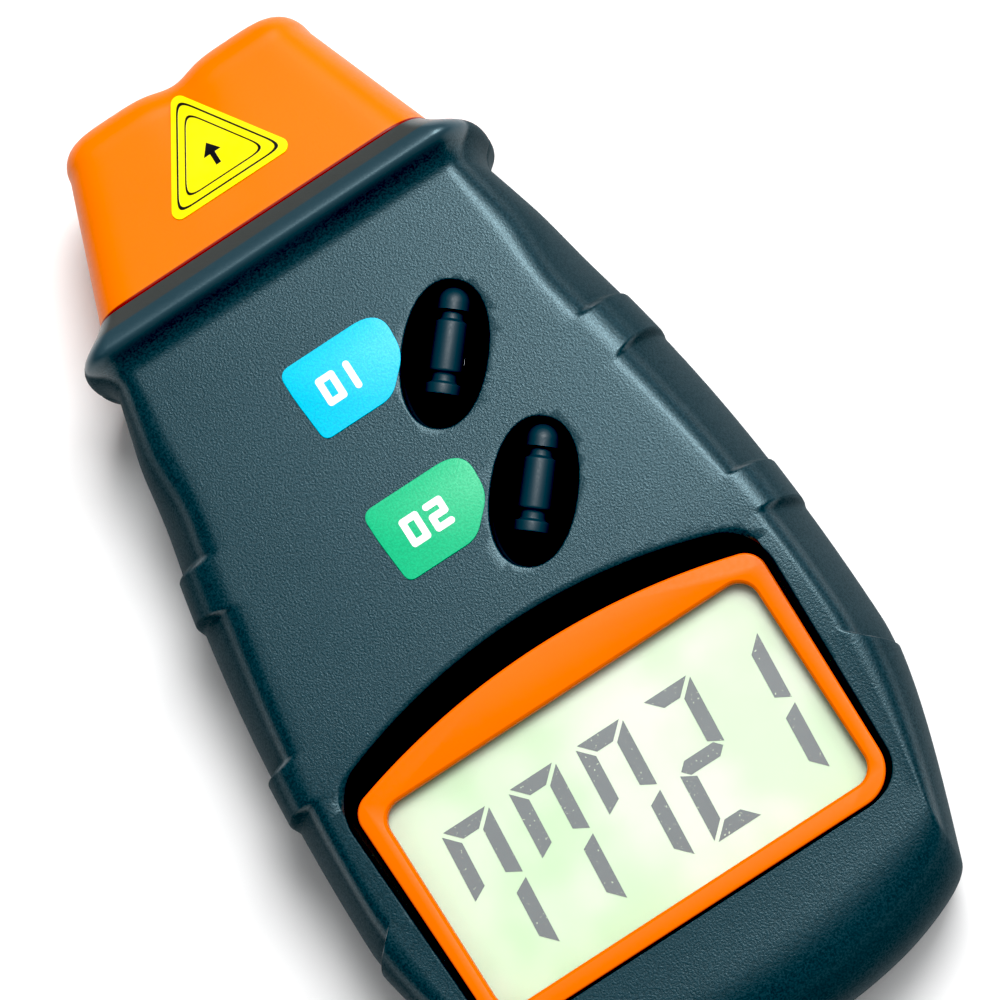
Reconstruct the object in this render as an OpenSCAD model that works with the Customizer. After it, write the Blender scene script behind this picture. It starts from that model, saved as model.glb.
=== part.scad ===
// Hand-held laser tachometer: two-shell body with a flared collar, orange nose
// with laser and receiver, two spring buttons, liquid-crystal display and a
// battery door that slides off the back. It lies on its back: X is the width,
// +Y points to the nose, +Z out of the face, and the back lies at Z = 0.

/* [Body] */
// Length from the bottom end to the tip of the nose
body_l = 131; // [130.5:0.25:131.5]
// Width across the hips
body_w = 70; // [69.5:0.25:70.5]
// Height of the collar's ridge above the back
body_h = 29; // [28.5:0.25:29.5]
// Height of the flat face above the back
face_h = 26; // [25.9:0.05:26.2]
// Height of the seam between the two shells
seam_h = 13; // [12.5:0.25:13.25]
// Wall of the two shells
wall = 2; // [1.8:0.1:2.2]
// How much the face falls from the display's top to its lower lip
face_fall = 2.3; // [2:0.1:2.4]

/* [Grips] */
// Depth of the finger scallops in the shoulders
grip_depth = 1.1; // [0.6:0.1:1.3]
// Distance from one rib between scallops to the next
rib_pitch = 25.2; // [24:0.2:26]
// Width of a rib
rib_w = 6; // [4:0.5:7]
// Place of the uppermost rib along the body
rib_y = 11.7; // [10.5:0.1:12.5]

/* [Collar and nose] */
// Width of the neck at the foot of the collar
neck_w = 50.4; // [50:0.2:51.2]
// Place of the foot of the collar
neck_y = 35.8; // [35.4:0.1:36.2]
// Width across the collar's ridge
collar_w = 54.2; // [53.8:0.2:54.6]
// Place of the collar's ridge
ridge_y = 39.5; // [39.3:0.1:39.7]
// Place of the joint between collar and nose
nose_y = 42.9; // [42.7:0.1:43.2]
// Width of the nose at the collar
nose_w = 45.6; // [45.2:0.2:45.8]
// Width of the nose where its front rounding begins
tip_w = 33; // [32.6:0.2:33.4]
// Radius of the nose's front rounding
tip_r = 3.5; // [3:0.25:4]
// Wall of the nose
nose_wall = 1.6; // [1.4:0.1:1.8]

/* [Display] */
// Half the width of the display frame at its top corners
frame_half_w = 26.95; // [26.8:0.05:27]
// Place of the middle of the frame's crowned top edge
frame_top_y = -14.9; // [-15:0.1:-14.8]
// Place of the frame's bottom edge
frame_bottom_y = -49.75; // [-49.9:0.05:-49.6]
// Height of the frame's front above the back
frame_h = 23.9; // [23.8:0.05:24]
// Half the width of the frame's opening
view_half_w = 24.4; // [24.2:0.1:24.6]
// Height of a digit
digit_h = 17.6; // [16:0.2:18]
// Number shown on the display
reading = 77721; // [0:1:99999]

/* [Buttons] */
// Length of a button's capsule
button_l = 12.4; // [12:0.1:12.5]
// Angle of the wells and buttons from the body's width
button_turn = 50; // [48:1:52]
// Length of a well
well_l = 17; // [16.6:0.2:17.2]
// Width of a well
well_w = 9.8; // [9.4:0.2:10]
// Travel of a button
button_travel = 0.6; // [0.4:0.1:0.6]

/* [Battery] */
// Width of the battery door's visible face
door_w = 31.2; // [31:0.2:31.4]
// Thickness of the battery door
door_t = 1.6; // [1.5:0.1:1.6]

/* [Hidden] */

shell_grey = [0.17, 0.20, 0.23];
orange = [0.95, 0.42, 0.08];
tip_end = 64.2;          // the face lies a little nearer to the tip than to the bottom end
low_end = tip_end - body_l;
half_w = body_w / 2;
half_neck = neck_w / 2;
hip_y = -32;
fall_start_y = -11;
fall_l = 44;

// Right half of the seam outline, from the middle of the bottom end to the neck
seam_end = [[0, low_end], [12, low_end], [19, low_end + 2.2]];
seam_corner = [seam_end[2], [26.4, low_end + 4.5], [27.2, low_end + 6.8]];
seam_hip = [seam_corner[2], [30.1, -52], [half_w, -39], [half_w, hip_y]];
seam_flank = [seam_hip[3], [half_w, -2], [half_neck + 5.7, 16.3], [half_neck, neck_y]];
// Right half of the edge of the face, piece for piece beside the seam outline
face_end = [[0, -56.8], [10, -56.8], [24.6, -53]];
face_corner = [face_end[2], [27.3, -52.3], [27.6, -50.5]];
face_hip = [face_corner[2], [28.3, -46], [29.8, -36], [29.8, -28]];
face_flank = [face_hip[3], [29.8, -6], [21.8, 15], [20.8, neck_y]];

shoulder_steps = 7;
fullness = 0.8;          // below 1 the shoulders are fuller than an ellipse
back_round = 4.2;        // width of the rounding along the back
back_rise = 2.5;         // how far the back lies above Z = 0 at the neck
rib_count = 3;
crisp = 0.12;            // half the length of a step at a rib

collar_cove = [[neck_y, 0], [neck_y + 2.6, 0.1], [ridge_y - 1.1, 1], [ridge_y, 1]];
collar_slope = [[ridge_y, 1], [ridge_y + 1.2, 1], [nose_y - 1.5, 0.75], [nose_y, 0.6]];
collar_land_half = 23.2; // half-width of the collar where the nose meets it
collar_top_half = 21.8;  // half-width of the flat top of the ridge
spigot_l = 4.2;
spigot_gap = 0.3;
nose_up = 13.9;          // heights of the nose above and below the seam, at the collar
nose_down = 10.8;
tip_up = 11.3;
tip_down = 8.4;
lobe_dip = 0.9;
nose_fullness = 0.6;     // its shoulders are squarer than the body's

optic_x = 7.4;
optic_z = 14.4;
tip_y = tip_end - tip_r;
front_wall = 2;

pocket_floor = 22.4;
ledge_bottom = 20.9;
frame_gap = 0.15;
frame_crown_r = 87.3;
view_bottom_y = -47.4;
view_top_y = -20.9;
glass_half_w = view_half_w + 0.7;
glass_bottom_y = view_bottom_y - 0.65;
glass_top_y = view_top_y + 0.65;
panel_bottom = 19.6;
panel_t = 1.6;
window_bottom = 21.35;
window_t = 0.95;

mem_at = [9.66, 18.3];
test_at = [9.7, -0.4];
well_floor = 20.9;
well_slope = 0.5;        // how much the well narrows to its floor, on each side
button_z = 23.65;
button_shift = 1.7;      // how far the capsule lies from the middle of its well
stem_gap = 0.35;
touch = 0.02;            // left between a lead's end and what it is soldered to
stem_r = 1.5;

board_top = 17;
board_t = 1.6;
board_half_w = 20;
board_low_y = -7;
board_high_y = 33;
switch_h = 2.8;
ribbon_half_w = 12.4;
plunger_r = 1.6;
button_foot = board_top + switch_h + button_travel + 0.25;

battery_w = 26.5;
battery_t = 16.2;
battery_l = 46.3;
battery_low_y = -60.5;
battery_z = 1.85;
terminal_x = 6.35;
door_low_y = -67.5;
door_high_y = -11.6;
door_tongue = 0.9;
door_lip = 0.8;
door_gap = 0.2;
bay_half_w = 13.8;
bay_low_y = -62;
bay_high_y = -13.2;

low_screw = [21, -53.5];
high_screw = [19, 30];
high_boss_z = 3;         // the back lies higher there
board_screw_at = [[-15, 26.5], [-15.5, -4], [17.3, -4.6]];

// Arithmetic

function mix(a, b, t) = a + (b - a) * t;
function clamp01(t) = max(0, min(1, t));
function smooth(t) = let (u = clamp01(t)) u * u * (3 - 2 * u);
// Point at t on the curve with these control points
function bez(p, t) =
    len(p) == 1 ? p[0] : bez([for (i = [0:len(p) - 2]) mix(p[i], p[i + 1], t)], t);
// Where a rising curve passes y, by halving
function find_t(p, y, a = 0, b = 1, left = 20) =
    left == 0 ? (a + b) / 2
    : let (m = (a + b) / 2) bez(p, m).y < y
        ? find_t(p, y, m, b, left - 1) : find_t(p, y, a, m, left - 1);
function arc(c, r, from, to, steps) =
    [for (i = [0:steps]) let (a = mix(from, to, i / steps)) [c.x + r * cos(a), c.y + r * sin(a)]];
function at_height(points, z) = [for (p = points) [p.x, p.y, z]];
function mirrored(points) = [for (i = [len(points) - 1:-1:0]) let (p = points[i]) [-p.x, p.y, p.z]];
function flat_mirrored(points) = [for (i = [len(points) - 1:-1:0]) [-points[i].x, points[i].y]];

// Solids between rings of points

function quad(a, b, c, d) =
    [for (t = [[a, b, c], [a, c, d]]) if (t[0] != t[1] && t[1] != t[2] && t[2] != t[0]) t];

// Joins equal rings, each counter-clockwise as seen from the first ring. A ring's point j faces
// point n - 1 - j across its end, or point n - j where the ring has a point on its mirror line.
module loft(rings, on_mirror = false) {
    n = len(rings[0]);
    last = len(rings) - 1;
    shift = on_mirror ? 0 : 1;
    function id(r, j) = r * n + (j + n) % n;
    function across(j) = n - shift - j;
    skin = [for (r = [0:last - 1], j = [0:n - 1])
        each quad(id(r, j), id(r, j + 1), id(r + 1, j + 1), id(r + 1, j))];
    strips = [0:n / 2 - 1 - shift];
    start = [for (j = strips) each quad(id(0, j + 1), id(0, j), id(0, across(j)), id(0, across(j + 1)))];
    end = [for (j = strips)
        each quad(id(last, j), id(last, j + 1), id(last, across(j + 1)), id(last, across(j)))];
    polyhedron(points = [for (r = rings) each r], faces = concat(skin, start, end), convexity = 10);
}

// A tube of radius r along a curve in space, with its rings square to its run
module lead(path, r, rings = 10, sides = 8) {
    loft([for (i = [0:rings])
        let (
            t = i / rings,
            c = bez(path, t),
            d = bez(path, min(1, t + 0.01)) - bez(path, max(0, t - 0.01)),
            run = d / norm(d),
            side = cross(run, [1, 0, 0]) / norm(cross(run, [1, 0, 0])),
            up = cross(side, run))
        [for (k = [0:sides - 1]) let (a = (k + 0.5) * 360 / sides - 90)
            c + r * (up * cos(a) - side * sin(a))]]);
}

// A rod along +Y, from y0 to y1
module rod(x, z, r, y0, y1) {
    translate([x, y0, z]) rotate([-90, 0, 0]) cylinder(h = y1 - y0, r = r, $fn = 48);
}

module post(at, r, z0, z1) {
    translate([at.x, at.y, z0]) cylinder(h = z1 - z0, r = r, $fn = 32);
}

// A post moulded on a shell
module boss(at, r, z0, z1) {
    translate([at.x, at.y, z0]) cylinder(h = z1 - z0, r = r, $fn = 20);
}

module block(x0, x1, y0, y1, z0, z1) {
    translate([x0, y0, z0]) cube([x1 - x0, y1 - y0, z1 - z0]);
}

// Body rows: [seam point, face edge, direction inwards, grip, rise to the face, fall to the back,
// width of the rounding along the back]

function face_rise(y) = face_h - seam_h - face_fall * smooth((fall_start_y - y) / fall_l);
function back_fall(y) = seam_h - back_rise * smooth((y - 8) / (neck_y - 8));
function body_row(p, q, turn, grip) = [p, q, turn, grip, face_rise(q.y), back_fall(p.y), back_round];
function side_row(y, grip) =
    let (
        flank = y > hip_y,
        seam = flank ? seam_flank : seam_hip,
        edge = flank ? face_flank : face_hip,
        t = find_t(seam, y))
    body_row(bez(seam, t), bez(edge, t), 180, grip);

function rib_at(i) = rib_y - i * rib_pitch;
function fade(y) = smooth((29 - y) / 10);
// Rows of one rib and of the scallop above it
function rib_rows(i) =
    let (
        c = rib_at(i),
        low = c - rib_w / 2,
        high = c + rib_w / 2,
        gap = rib_pitch - rib_w,
        lowest = i == rib_count - 1)
    concat(
        lowest ? [[low, 0]] : [[low - crisp, 1], [low + crisp, 0]],
        [[high - crisp, 0], [high + crisp, fade(high)]],
        i == 0 ? [] : [for (k = [1:3]) [high + k * gap / 4, 1]]);
grip_rows = concat(
    [[-56, 0], [-51, 0], [-46, 0]],
    [for (i = [rib_count - 1:-1:0]) each rib_rows(i)],
    [for (y = [18, 21.5, 25, 29, 32.5]) [y, fade(y)]]);

end_rows = [for (t = [0.15, 0.45, 0.75]) body_row(bez(seam_end, t), bez(face_end, t), 90, 0)];
corner_rows = [for (t = [0:0.25:1])
    body_row(bez(seam_corner, t), bez(face_corner, t), mix(90, 180, t), 0)];
flank_rows = [for (r = grip_rows) side_row(r[0], r[1])];

// Half-width, half-width of the flat, height and depth of the nose, this far inside its skin
function nose_size(y, inset) =
    let (t = (y - nose_y) / (tip_y - nose_y))
    [mix(nose_w / 2, tip_w / 2, t) - inset, mix(16.2, 10.8, t) - inset * 0.8,
        mix(nose_up, tip_up, t) - inset, mix(nose_down, tip_down, t) - inset];
function collar_row(half, top_half, s) =
    let (
        up = mix(face_h - seam_h, body_h - seam_h, s),
        down = mix(seam_h - back_rise, seam_h, s))
    [half, top_half, up, down];
function flat_row(y, r, round = back_round) = [[r[0], y], [r[1], y], 180, 0, r[2], r[3], round];
cove_rows = [for (t = [0, 0.3, 0.55, 0.8]) let (b = bez(collar_cove, t))
    flat_row(b[0], collar_row(
        mix(half_neck, collar_w / 2, b[1]), mix(face_flank[3].x, collar_top_half, b[1]), b[1]))];
slope_rows = [for (t = [0, 0.3, 0.6, 1]) let (b = bez(collar_slope, t), u = (1 - b[1]) / 0.4)
    flat_row(b[0], collar_row(
        mix(collar_w / 2, collar_land_half, u), mix(collar_top_half, 18.6, u), b[1]))];
spigot_rows = [for (y = [nose_y, nose_y + spigot_l])
    let (size = nose_size(y, nose_wall + spigot_gap))
    flat_row(y, size, size[0] - size[1])];
outer_rows = concat(end_rows, corner_rows, flank_rows, cove_rows, slope_rows, spigot_rows);

inner_rows = concat(end_rows, corner_rows, [for (y = [-54:8:30]) side_row(y, 0)]);
throat_rows = [flat_row(neck_y + 1, [22.2, 18, 10.8, 8.2]), flat_row(nose_y + 8, [17.2, 12.2, 9.6, 7])];

// Right half of a section, from the seam to the edge of the flat
function half_arch(p, q, rise, grip, power, steps) =
    [for (i = [0:steps])
        let (
            v = i / steps,
            c = pow(cos(90 * v), power),
            s = pow(sin(90 * v), power),
            d = grip_depth * grip * (0.2 + sin(162 * v)))
        [q.x + (p.x - q.x) * c - d * (0.5 + 0.5 * cos(90 * v)),
         q.y + (p.y - q.y) * c,
         rise * s - 0.6 * d * sin(180 * v)]];
function arch(half) = concat(half, mirrored(half));

function inwards(turn) = [cos(turn), sin(turn)];
function outer_arch(r, front) =
    arch(half_arch(
        r[0], front ? r[1] : r[0] + r[6] * inwards(r[2]), front ? r[4] : r[5],
        r[3], fullness, shoulder_steps));
function inner_arch(r, front, t, extra) =
    let (
        p = r[0] + t * inwards(r[2]),
        q = front ? r[1] + (t + 0.8) * inwards(r[2]) : r[0] + (r[6] + 0.6) * inwards(r[2]))
    [for (a = arch(half_arch(p, q, (front ? r[4] : r[5]) - t + extra, 0, 1, 5))) [a.x, a.y, a.z - extra]];

// Half of the body in solid, built upwards from the seam
module half_body(front) {
    loft([for (r = outer_rows) outer_arch(r, front)]);
}

// What is hollow in it, begun a little below the seam so that the cut is clean
module half_hollow(front) {
    extra = 1;
    loft(concat(
        [for (r = inner_rows) inner_arch(r, front, wall, extra)],
        [for (r = throat_rows) inner_arch(r, front, 0, extra)]));
}

// Display outlines, with a crowned top edge

// Right half, from the bottom corner to the crown
function crowned_half(half, low_half, low_y, top_y, crown_r, top_r, low_r) =
    let (
        corner_x = half - top_r,
        crown_y = top_y - crown_r,
        corner_y = crown_y + sqrt(pow(crown_r - top_r, 2) - corner_x * corner_x),
        meet = atan2(corner_y - crown_y, corner_x))
    concat(
        arc([low_half - low_r, low_y + low_r], low_r, -90, 0, 5),
        arc([corner_x, corner_y], top_r, 0, meet, 5),
        [for (i = [1:4]) let (a = mix(meet, 90, i / 4.5)) [crown_r * cos(a), crown_y + crown_r * sin(a)]]);
function crowned(half, low_half, low_y, top_y, crown_r, top_r, low_r) =
    let (right = crowned_half(half, low_half, low_y, top_y, crown_r, top_r, low_r))
    concat(right, flat_mirrored(right));
function frame_outline(grow) =
    crowned(frame_half_w + grow, frame_half_w - 0.65 + grow, frame_bottom_y - grow,
        frame_top_y + grow, frame_crown_r + grow, 2.8 + grow, 4.5 + grow);
brow_outline = crowned(27.6, 26.75, frame_bottom_y - 0.35, -11.2, 71, 3.6, 4.8);

module rounded_plate(half, y0, y1, r, z0, z1) {
    right = concat(
        arc([half - r, y0 + r], r, -90, 0, 4),
        arc([half - r, y1 - r], r, 0, 90, 4));
    translate([0, 0, z0]) linear_extrude(z1 - z0) polygon(concat(right, flat_mirrored(right)));
}

// Space for the frame, with the sloped brow above it
module display_pocket() {
    seat = frame_outline(frame_gap);
    loft([
        at_height(brow_outline, face_h + 3), at_height(brow_outline, face_h + 0.05),
        at_height(seat, frame_h), at_height(seat, pocket_floor)]);
}

// Button wells

function oval(l, w) = [for (k = [0:27]) let (a = (k + 0.5) * 360 / 28 - 90)
    [l / 2 * sign(cos(a)) * pow(abs(cos(a)), 0.9), w / 2 * sign(sin(a)) * pow(abs(sin(a)), 0.9)]];

module turned(at) {
    translate([at.x, at.y, 0]) rotate(button_turn) children();
}

module well_space(at) {
    turned(at) loft([
        at_height(oval(well_l + 0.5, well_w + 0.5), face_h + 1),
        at_height(oval(well_l + 0.4, well_w + 0.4), face_h + 0.1),
        at_height(oval(well_l, well_w), face_h - 0.4),
        at_height(oval(well_l - 2 * well_slope, well_w - 2 * well_slope), well_floor)]);
}

module well_cup(at) {
    turned(at) translate([0, 0, well_floor - 1])
        linear_extrude(face_h - well_floor) polygon(oval(well_l + 1.6, well_w + 1.6));
}

// Shells

// Brings a free-form moulding to its exact depth
module to_depth(d) {
    resize([0, 0, d]) children();
}

module front_moulding() {
    difference() {
        union() {
            difference() {
                translate([0, 0, seam_h]) half_body(true);
                translate([0, 0, seam_h]) half_hollow(true);
            }
            rounded_plate(27.6, frame_bottom_y - 0.3, frame_top_y + 1.4, 5,
                ledge_bottom, pocket_floor + 0.4);
            for (at = [mem_at, test_at]) well_cup(at);
            for (at = board_screw_at) boss(at, 2.2, board_top, face_h - 1);
            for (s = [-1, 1]) {
                boss([s * low_screw.x, low_screw.y], 2.9, seam_h, face_h - 3.9);
                boss([s * high_screw.x, high_screw.y], 2.9, seam_h, face_h - 1);
            }
        }
        display_pocket();
        rounded_plate(glass_half_w + 0.15, glass_bottom_y - 0.15, glass_top_y + 0.15, 0.8,
            panel_bottom - 1, pocket_floor + 1);
        for (at = [mem_at, test_at]) well_space(at);
    }
}

module front_shell() {
    color(shell_grey) difference() {
        to_depth(body_h - seam_h) front_moulding();
        for (at = [mem_at, test_at]) post(at, stem_r + stem_gap, well_floor - 2, well_floor + 1);
        for (at = board_screw_at) post(at, 0.9, board_top - 1, board_top + 5);
        for (s = [-1, 1], at = [low_screw, high_screw])
            post([s * at.x, at.y], 1.15, seam_h - 1, seam_h + 7);
    }
}

module rear_moulding() {
    side_x = door_w / 2 + door_gap;
    groove_x = side_x + door_tongue;
    end_y = door_high_y + door_gap;
    difference() {
        union() {
            difference() {
                translate([0, 0, seam_h]) mirror([0, 0, 1]) half_body(false);
                translate([0, 0, seam_h]) mirror([0, 0, 1]) half_hollow(false);
            }
            for (s = [-1, 1]) {
                boss([s * low_screw.x, low_screw.y], 3.6, 1, seam_h);
                boss([s * high_screw.x, high_screw.y], 3.6, high_boss_z, seam_h);
            }
            for (s = [-1, 1]) {
                block(s * 14.9 - 0.7, s * 14.9 + 0.7, bay_low_y + 4.2, bay_high_y, 1, 10);
                block(s * 16.4 - 2.5, s * 16.4 + 2.5, bay_low_y + 4.2, bay_high_y + 2, 1, 3);
            }
            block(-15.6, 15.6, bay_high_y, bay_high_y + 4.6, 1, 3);
        }
        // Battery bay, the door's groove and the mouth between its lips
        block(-bay_half_w, bay_half_w, bay_low_y, bay_high_y, 0.5, 4);
        block(-groove_x, groove_x, door_low_y - 4, end_y, door_lip - 0.05, door_t + 0.15);
        block(-side_x, side_x, door_low_y - 4, end_y, -1, door_lip);
    }
}

module rear_shell() {
    color(shell_grey) difference() {
        to_depth(seam_h) rear_moulding();
        for (s = [-1, 1], at = [low_screw, high_screw]) {
            post([s * at.x, at.y], 1.6, -1, seam_h + 1);
            post([s * at.x, at.y], 2.9, -1, 5.2);
        }
    }
}

// Nose

// Upper or lower half of a ring of the nose: right shoulder, flat, left shoulder
function nose_half(half, top_half, rise, steps, cells) =
    let (right = half_arch([half, 0], [top_half, 0], rise, 0, nose_fullness, steps))
    concat(
        right,
        [for (i = [1:cells - 1]) [mix(top_half, -top_half, i / cells), 0, rise]],
        mirrored(right));
// A ring of this size at y; dip draws it back and in between the two barrels
function nose_ring(y, size, dip, steps, cells) =
    let (
        over = nose_half(size[0], size[1], size[2], steps, cells),
        under = nose_half(size[0], size[1], -size[3], steps, cells),
        count = len(over))
    [for (p = concat(over, [for (i = [count - 2:-1:1]) under[i]]))
        let (valley = dip * exp(-p.x * p.x / 9))
        [p.x, y - valley, seam_h + p.z * (1 - 0.045 * valley)]];

function nose_taper(y, inset, dip, steps, cells) =
    nose_ring(y, nose_size(y, inset), dip, steps, cells);
function tip_ring(a) =
    nose_ring(tip_y + tip_r * sin(a), nose_size(tip_y, tip_r * (1 - cos(a))), lobe_dip, 6, 8);

module nose_cap() {
    color(orange) difference() {
        loft(concat(
            [nose_taper(nose_y, 0, 0, 6, 8), nose_taper(mix(nose_y, tip_y, 0.6), 0, 0.15, 6, 8),
             nose_taper(mix(nose_y, tip_y, 0.85), 0, 0.5, 6, 8)],
            [for (a = [0:22.5:90]) tip_ring(a)]), on_mirror = true);
        loft([nose_taper(nose_y - 1, nose_wall, 0, 6, 4),
              nose_taper(tip_end - front_wall, nose_wall, 0, 6, 4)], on_mirror = true);
        rod(optic_x, optic_z, 4.2, tip_end - 4, tip_end + 1);
        rod(-optic_x, optic_z, 2.8, tip_end - 4, tip_end + 1);
        rod(-optic_x, optic_z, 3.7, tip_end - 4, tip_end - front_wall + 0.9);
    }
}

module receiver_tube() {
    color([0.1, 0.1, 0.1]) difference() {
        rod(optic_x, optic_z, 5.6, nose_y - 3, tip_end - front_wall - 0.1);
        rod(optic_x, optic_z, 4.3, nose_y - 4, tip_end);
        rod(optic_x, optic_z, 4.9, tip_end - 5.6, tip_end);
    }
}

module receiver_lens() {
    lens_r = 4.85;
    bulge_r = 12;
    color([0.8, 0.9, 0.95, 0.5]) translate([optic_x, tip_end - 5.5, optic_z]) rotate([-90, 0, 0])
        rotate_extrude($fn = 48) polygon(concat([[0, 0], [lens_r, 0]],
            [for (i = [0:6]) let (x = lens_r * (1 - i / 6))
                [x, 1.4 + sqrt(bulge_r * bulge_r - x * x) - sqrt(bulge_r * bulge_r - lens_r * lens_r)]]));
}

module photodiode() {
    color([0.15, 0.15, 0.18]) {
        rod(optic_x, optic_z, 4.25, nose_y - 3, nose_y - 1.4);
        rod(optic_x, optic_z, 2.5, nose_y - 1.4, nose_y + 1);
    }
}

module laser_barrel() {
    color([0.72, 0.58, 0.28]) difference() {
        union() {
            rod(-optic_x, optic_z, 4, nose_y - 6, tip_end - 8);
            rod(-optic_x, optic_z, 3.2, tip_end - 8, tip_end - 4.5);
        }
        rod(-optic_x, optic_z, 1.6, tip_end - 7, tip_end);
    }
}

module laser_window() {
    y = tip_end - front_wall;
    color([0.6, 0.2, 0.2, 0.5]) rod(-optic_x, optic_z, 3.65, y + 0.05, y + 0.85);
}

module optics_carrier() {
    color([0.12, 0.12, 0.13]) difference() {
        translate([0, nose_y - 0.5, optic_z]) rotate([-90, 0, 0]) linear_extrude(3.5) {
            square([33, 12], center = true);
            square([29, 15], center = true);
        }
        rod(optic_x, optic_z, 5.65, nose_y - 2, nose_y + 4);
        rod(-optic_x, optic_z, 4.05, nose_y - 2, nose_y + 4);
    }
}

// A drooping lead from the back of an optic to the underside of the board
module optic_lead(x, y, board_y) {
    lead([[x, y - touch, optic_z], [x, y - 4, optic_z], [x, (y + board_y) / 2, 9],
        [x, board_y, 8], [x, board_y, board_top - board_t - touch]], 0.5);
}

module optics_leads() {
    for (s = [-1, 1]) color(s < 0 ? [0.7, 0.1, 0.1] : [0.1, 0.1, 0.1]) {
        optic_lead(optic_x + s * 1.3, nose_y - 3, 29);
        optic_lead(-optic_x + s * 1.5, nose_y - 6, 27);
    }
}

// Display

module display_frame() {
    color(orange) difference() {
        translate([0, 0, pocket_floor]) linear_extrude(frame_h - pocket_floor) polygon(frame_outline(0));
        rounded_plate(view_half_w, view_bottom_y, view_top_y, 2.4, pocket_floor - 1, frame_h + 1);
    }
}

module display_window() {
    color([0.9, 0.95, 0.95, 0.3])
        rounded_plate(glass_half_w, glass_bottom_y, glass_top_y, 0.7,
            window_bottom, window_bottom + window_t);
}

module display_panel() {
    color([0.85, 0.92, 0.78])
        rounded_plate(glass_half_w - 0.3, glass_bottom_y + 0.3, glass_top_y - 0.3, 0.5,
            panel_bottom, panel_bottom + panel_t);
}

digit_w = 6.3;
bar_t = 1.75;
bar_gap = 0.35;
digit_lean = 4.5;
digit_pitch = 8.95;
digits_at = [-21.5, -44.1];
digit_count = 5;

// Bars of each figure, named a to g clockwise from the top, then the middle
bars_of = ["abcdef", "bc", "abged", "abgcd", "fgbc", "afgcd", "afgedc", "abcf", "abcdefg", "abcdfg"];
// Corners of a bar, in a digit with its lower left corner at the origin
function upright_bar() = [
    [0, digit_h - bar_gap], [0, digit_h / 2 + bar_gap],
    [bar_t, digit_h / 2 + bar_t * 0.75], [bar_t, digit_h - bar_t - bar_gap]];
function level_bar() = [
    [bar_gap, digit_h], [bar_t + bar_gap, digit_h - bar_t],
    [digit_w - bar_t - bar_gap, digit_h - bar_t], [digit_w - bar_gap, digit_h]];
function middle_bar() = let (m = digit_h / 2, h = bar_t / 2) [
    [bar_gap, m], [h + bar_gap, m - h], [digit_w - h - bar_gap, m - h],
    [digit_w - bar_gap, m], [digit_w - h - bar_gap, m + h], [h + bar_gap, m + h]];
function swap_x(p) = [for (q = p) [digit_w - q.x, q.y]];
function swap_y(p) = [for (q = p) [q.x, digit_h - q.y]];
function bar(name) =
    name == "f" ? upright_bar() : name == "b" ? swap_x(upright_bar())
    : name == "e" ? swap_y(upright_bar()) : name == "c" ? swap_x(swap_y(upright_bar()))
    : name == "a" ? level_bar() : name == "d" ? swap_y(level_bar()) : middle_bar();
function leaning(p) = [for (q = p) [q.x + q.y * tan(digit_lean), q.y]];

function figure_at(i) = floor(reading / pow(10, digit_count - 1 - i)) % 10;

module display_digits() {
    color([0.3, 0.34, 0.38]) translate([digits_at.x, digits_at.y, panel_bottom + panel_t])
        linear_extrude(0.08) for (i = [0:digit_count - 1], name = bars_of[figure_at(i)])
            translate([i * digit_pitch, 0]) polygon(leaning(bar(name)));
}

module display_carrier() {
    color([0.85, 0.85, 0.82]) difference() {
        rounded_plate(26.3, glass_bottom_y - 0.9, glass_top_y + 1.4, 3.5,
            panel_bottom - 1, ledge_bottom - 0.05);
        rounded_plate(glass_half_w - 0.25, glass_bottom_y + 0.25, glass_top_y - 0.25, 0.5,
            panel_bottom, ledge_bottom + 1);
        rounded_plate(23.6, glass_bottom_y + 1.6, glass_top_y - 1.8, 2, panel_bottom - 2, ledge_bottom + 1);
        block(-ribbon_half_w - 0.4, ribbon_half_w + 0.4, glass_top_y - 3, glass_top_y + 3,
            panel_bottom - 0.35, panel_bottom + 0.05);
    }
}

module display_ribbon() {
    z = panel_bottom - 0.3;
    y = glass_top_y;
    low = board_top + 0.05;
    end_y = board_low_y + 3;
    t = 0.2;
    color([0.8, 0.6, 0.3]) translate([-ribbon_half_w, 0, 0]) rotate([90, 0, 90])
        linear_extrude(2 * ribbon_half_w) polygon([
            [y - 2, z], [y + 4, z], [y + 10.5, low], [end_y, low],
            [end_y, low + t], [y + 10.6, low + t], [y + 4.1, z + t], [y - 2, z + t]]);
}

// Board

module circuit_board() {
    color([0.1, 0.4, 0.22]) difference() {
        block(-board_half_w, board_half_w, board_low_y, board_high_y, board_top - board_t, board_top);
        for (at = board_screw_at) post(at, 1.3, board_top - 3, board_top + 1);
        for (s = [-1, 1]) block(s * 19 - 4, s * 19 + 4, high_screw.y - 4.2, board_high_y + 1, 10, 20);
    }
}

module main_chip() {
    low = board_top + 0.3;
    color([0.08, 0.08, 0.08]) block(-12.5, -3.5, 8, 17, low, low + 1.4);
    color([0.75, 0.75, 0.75]) for (i = [0:6], s = [-1, 1])
        block(-8 + s * 5.1 - 0.6, -8 + s * 5.1 + 0.6, 8.5 + i * 1.25, 8.9 + i * 1.25, board_top, low + 0.5);
}

module crystal() {
    color([0.8, 0.8, 0.82]) translate([-8, 22.5, board_top]) linear_extrude(3.4) {
        square([6.4, 4.4], center = true);
        for (s = [-1, 1]) translate([s * 3.2, 0]) circle(r = 2.2, $fn = 32);
    }
}

module capacitors() {
    for (at = [[-4, 29], [4, 29.5], [-15.8, 19.5]]) {
        color([0.15, 0.2, 0.45]) post(at, 2.2, board_top, board_top + 5);
        color([0.75, 0.75, 0.75]) post(at, 1.7, board_top + 5, board_top + 5.2);
    }
}

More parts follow.
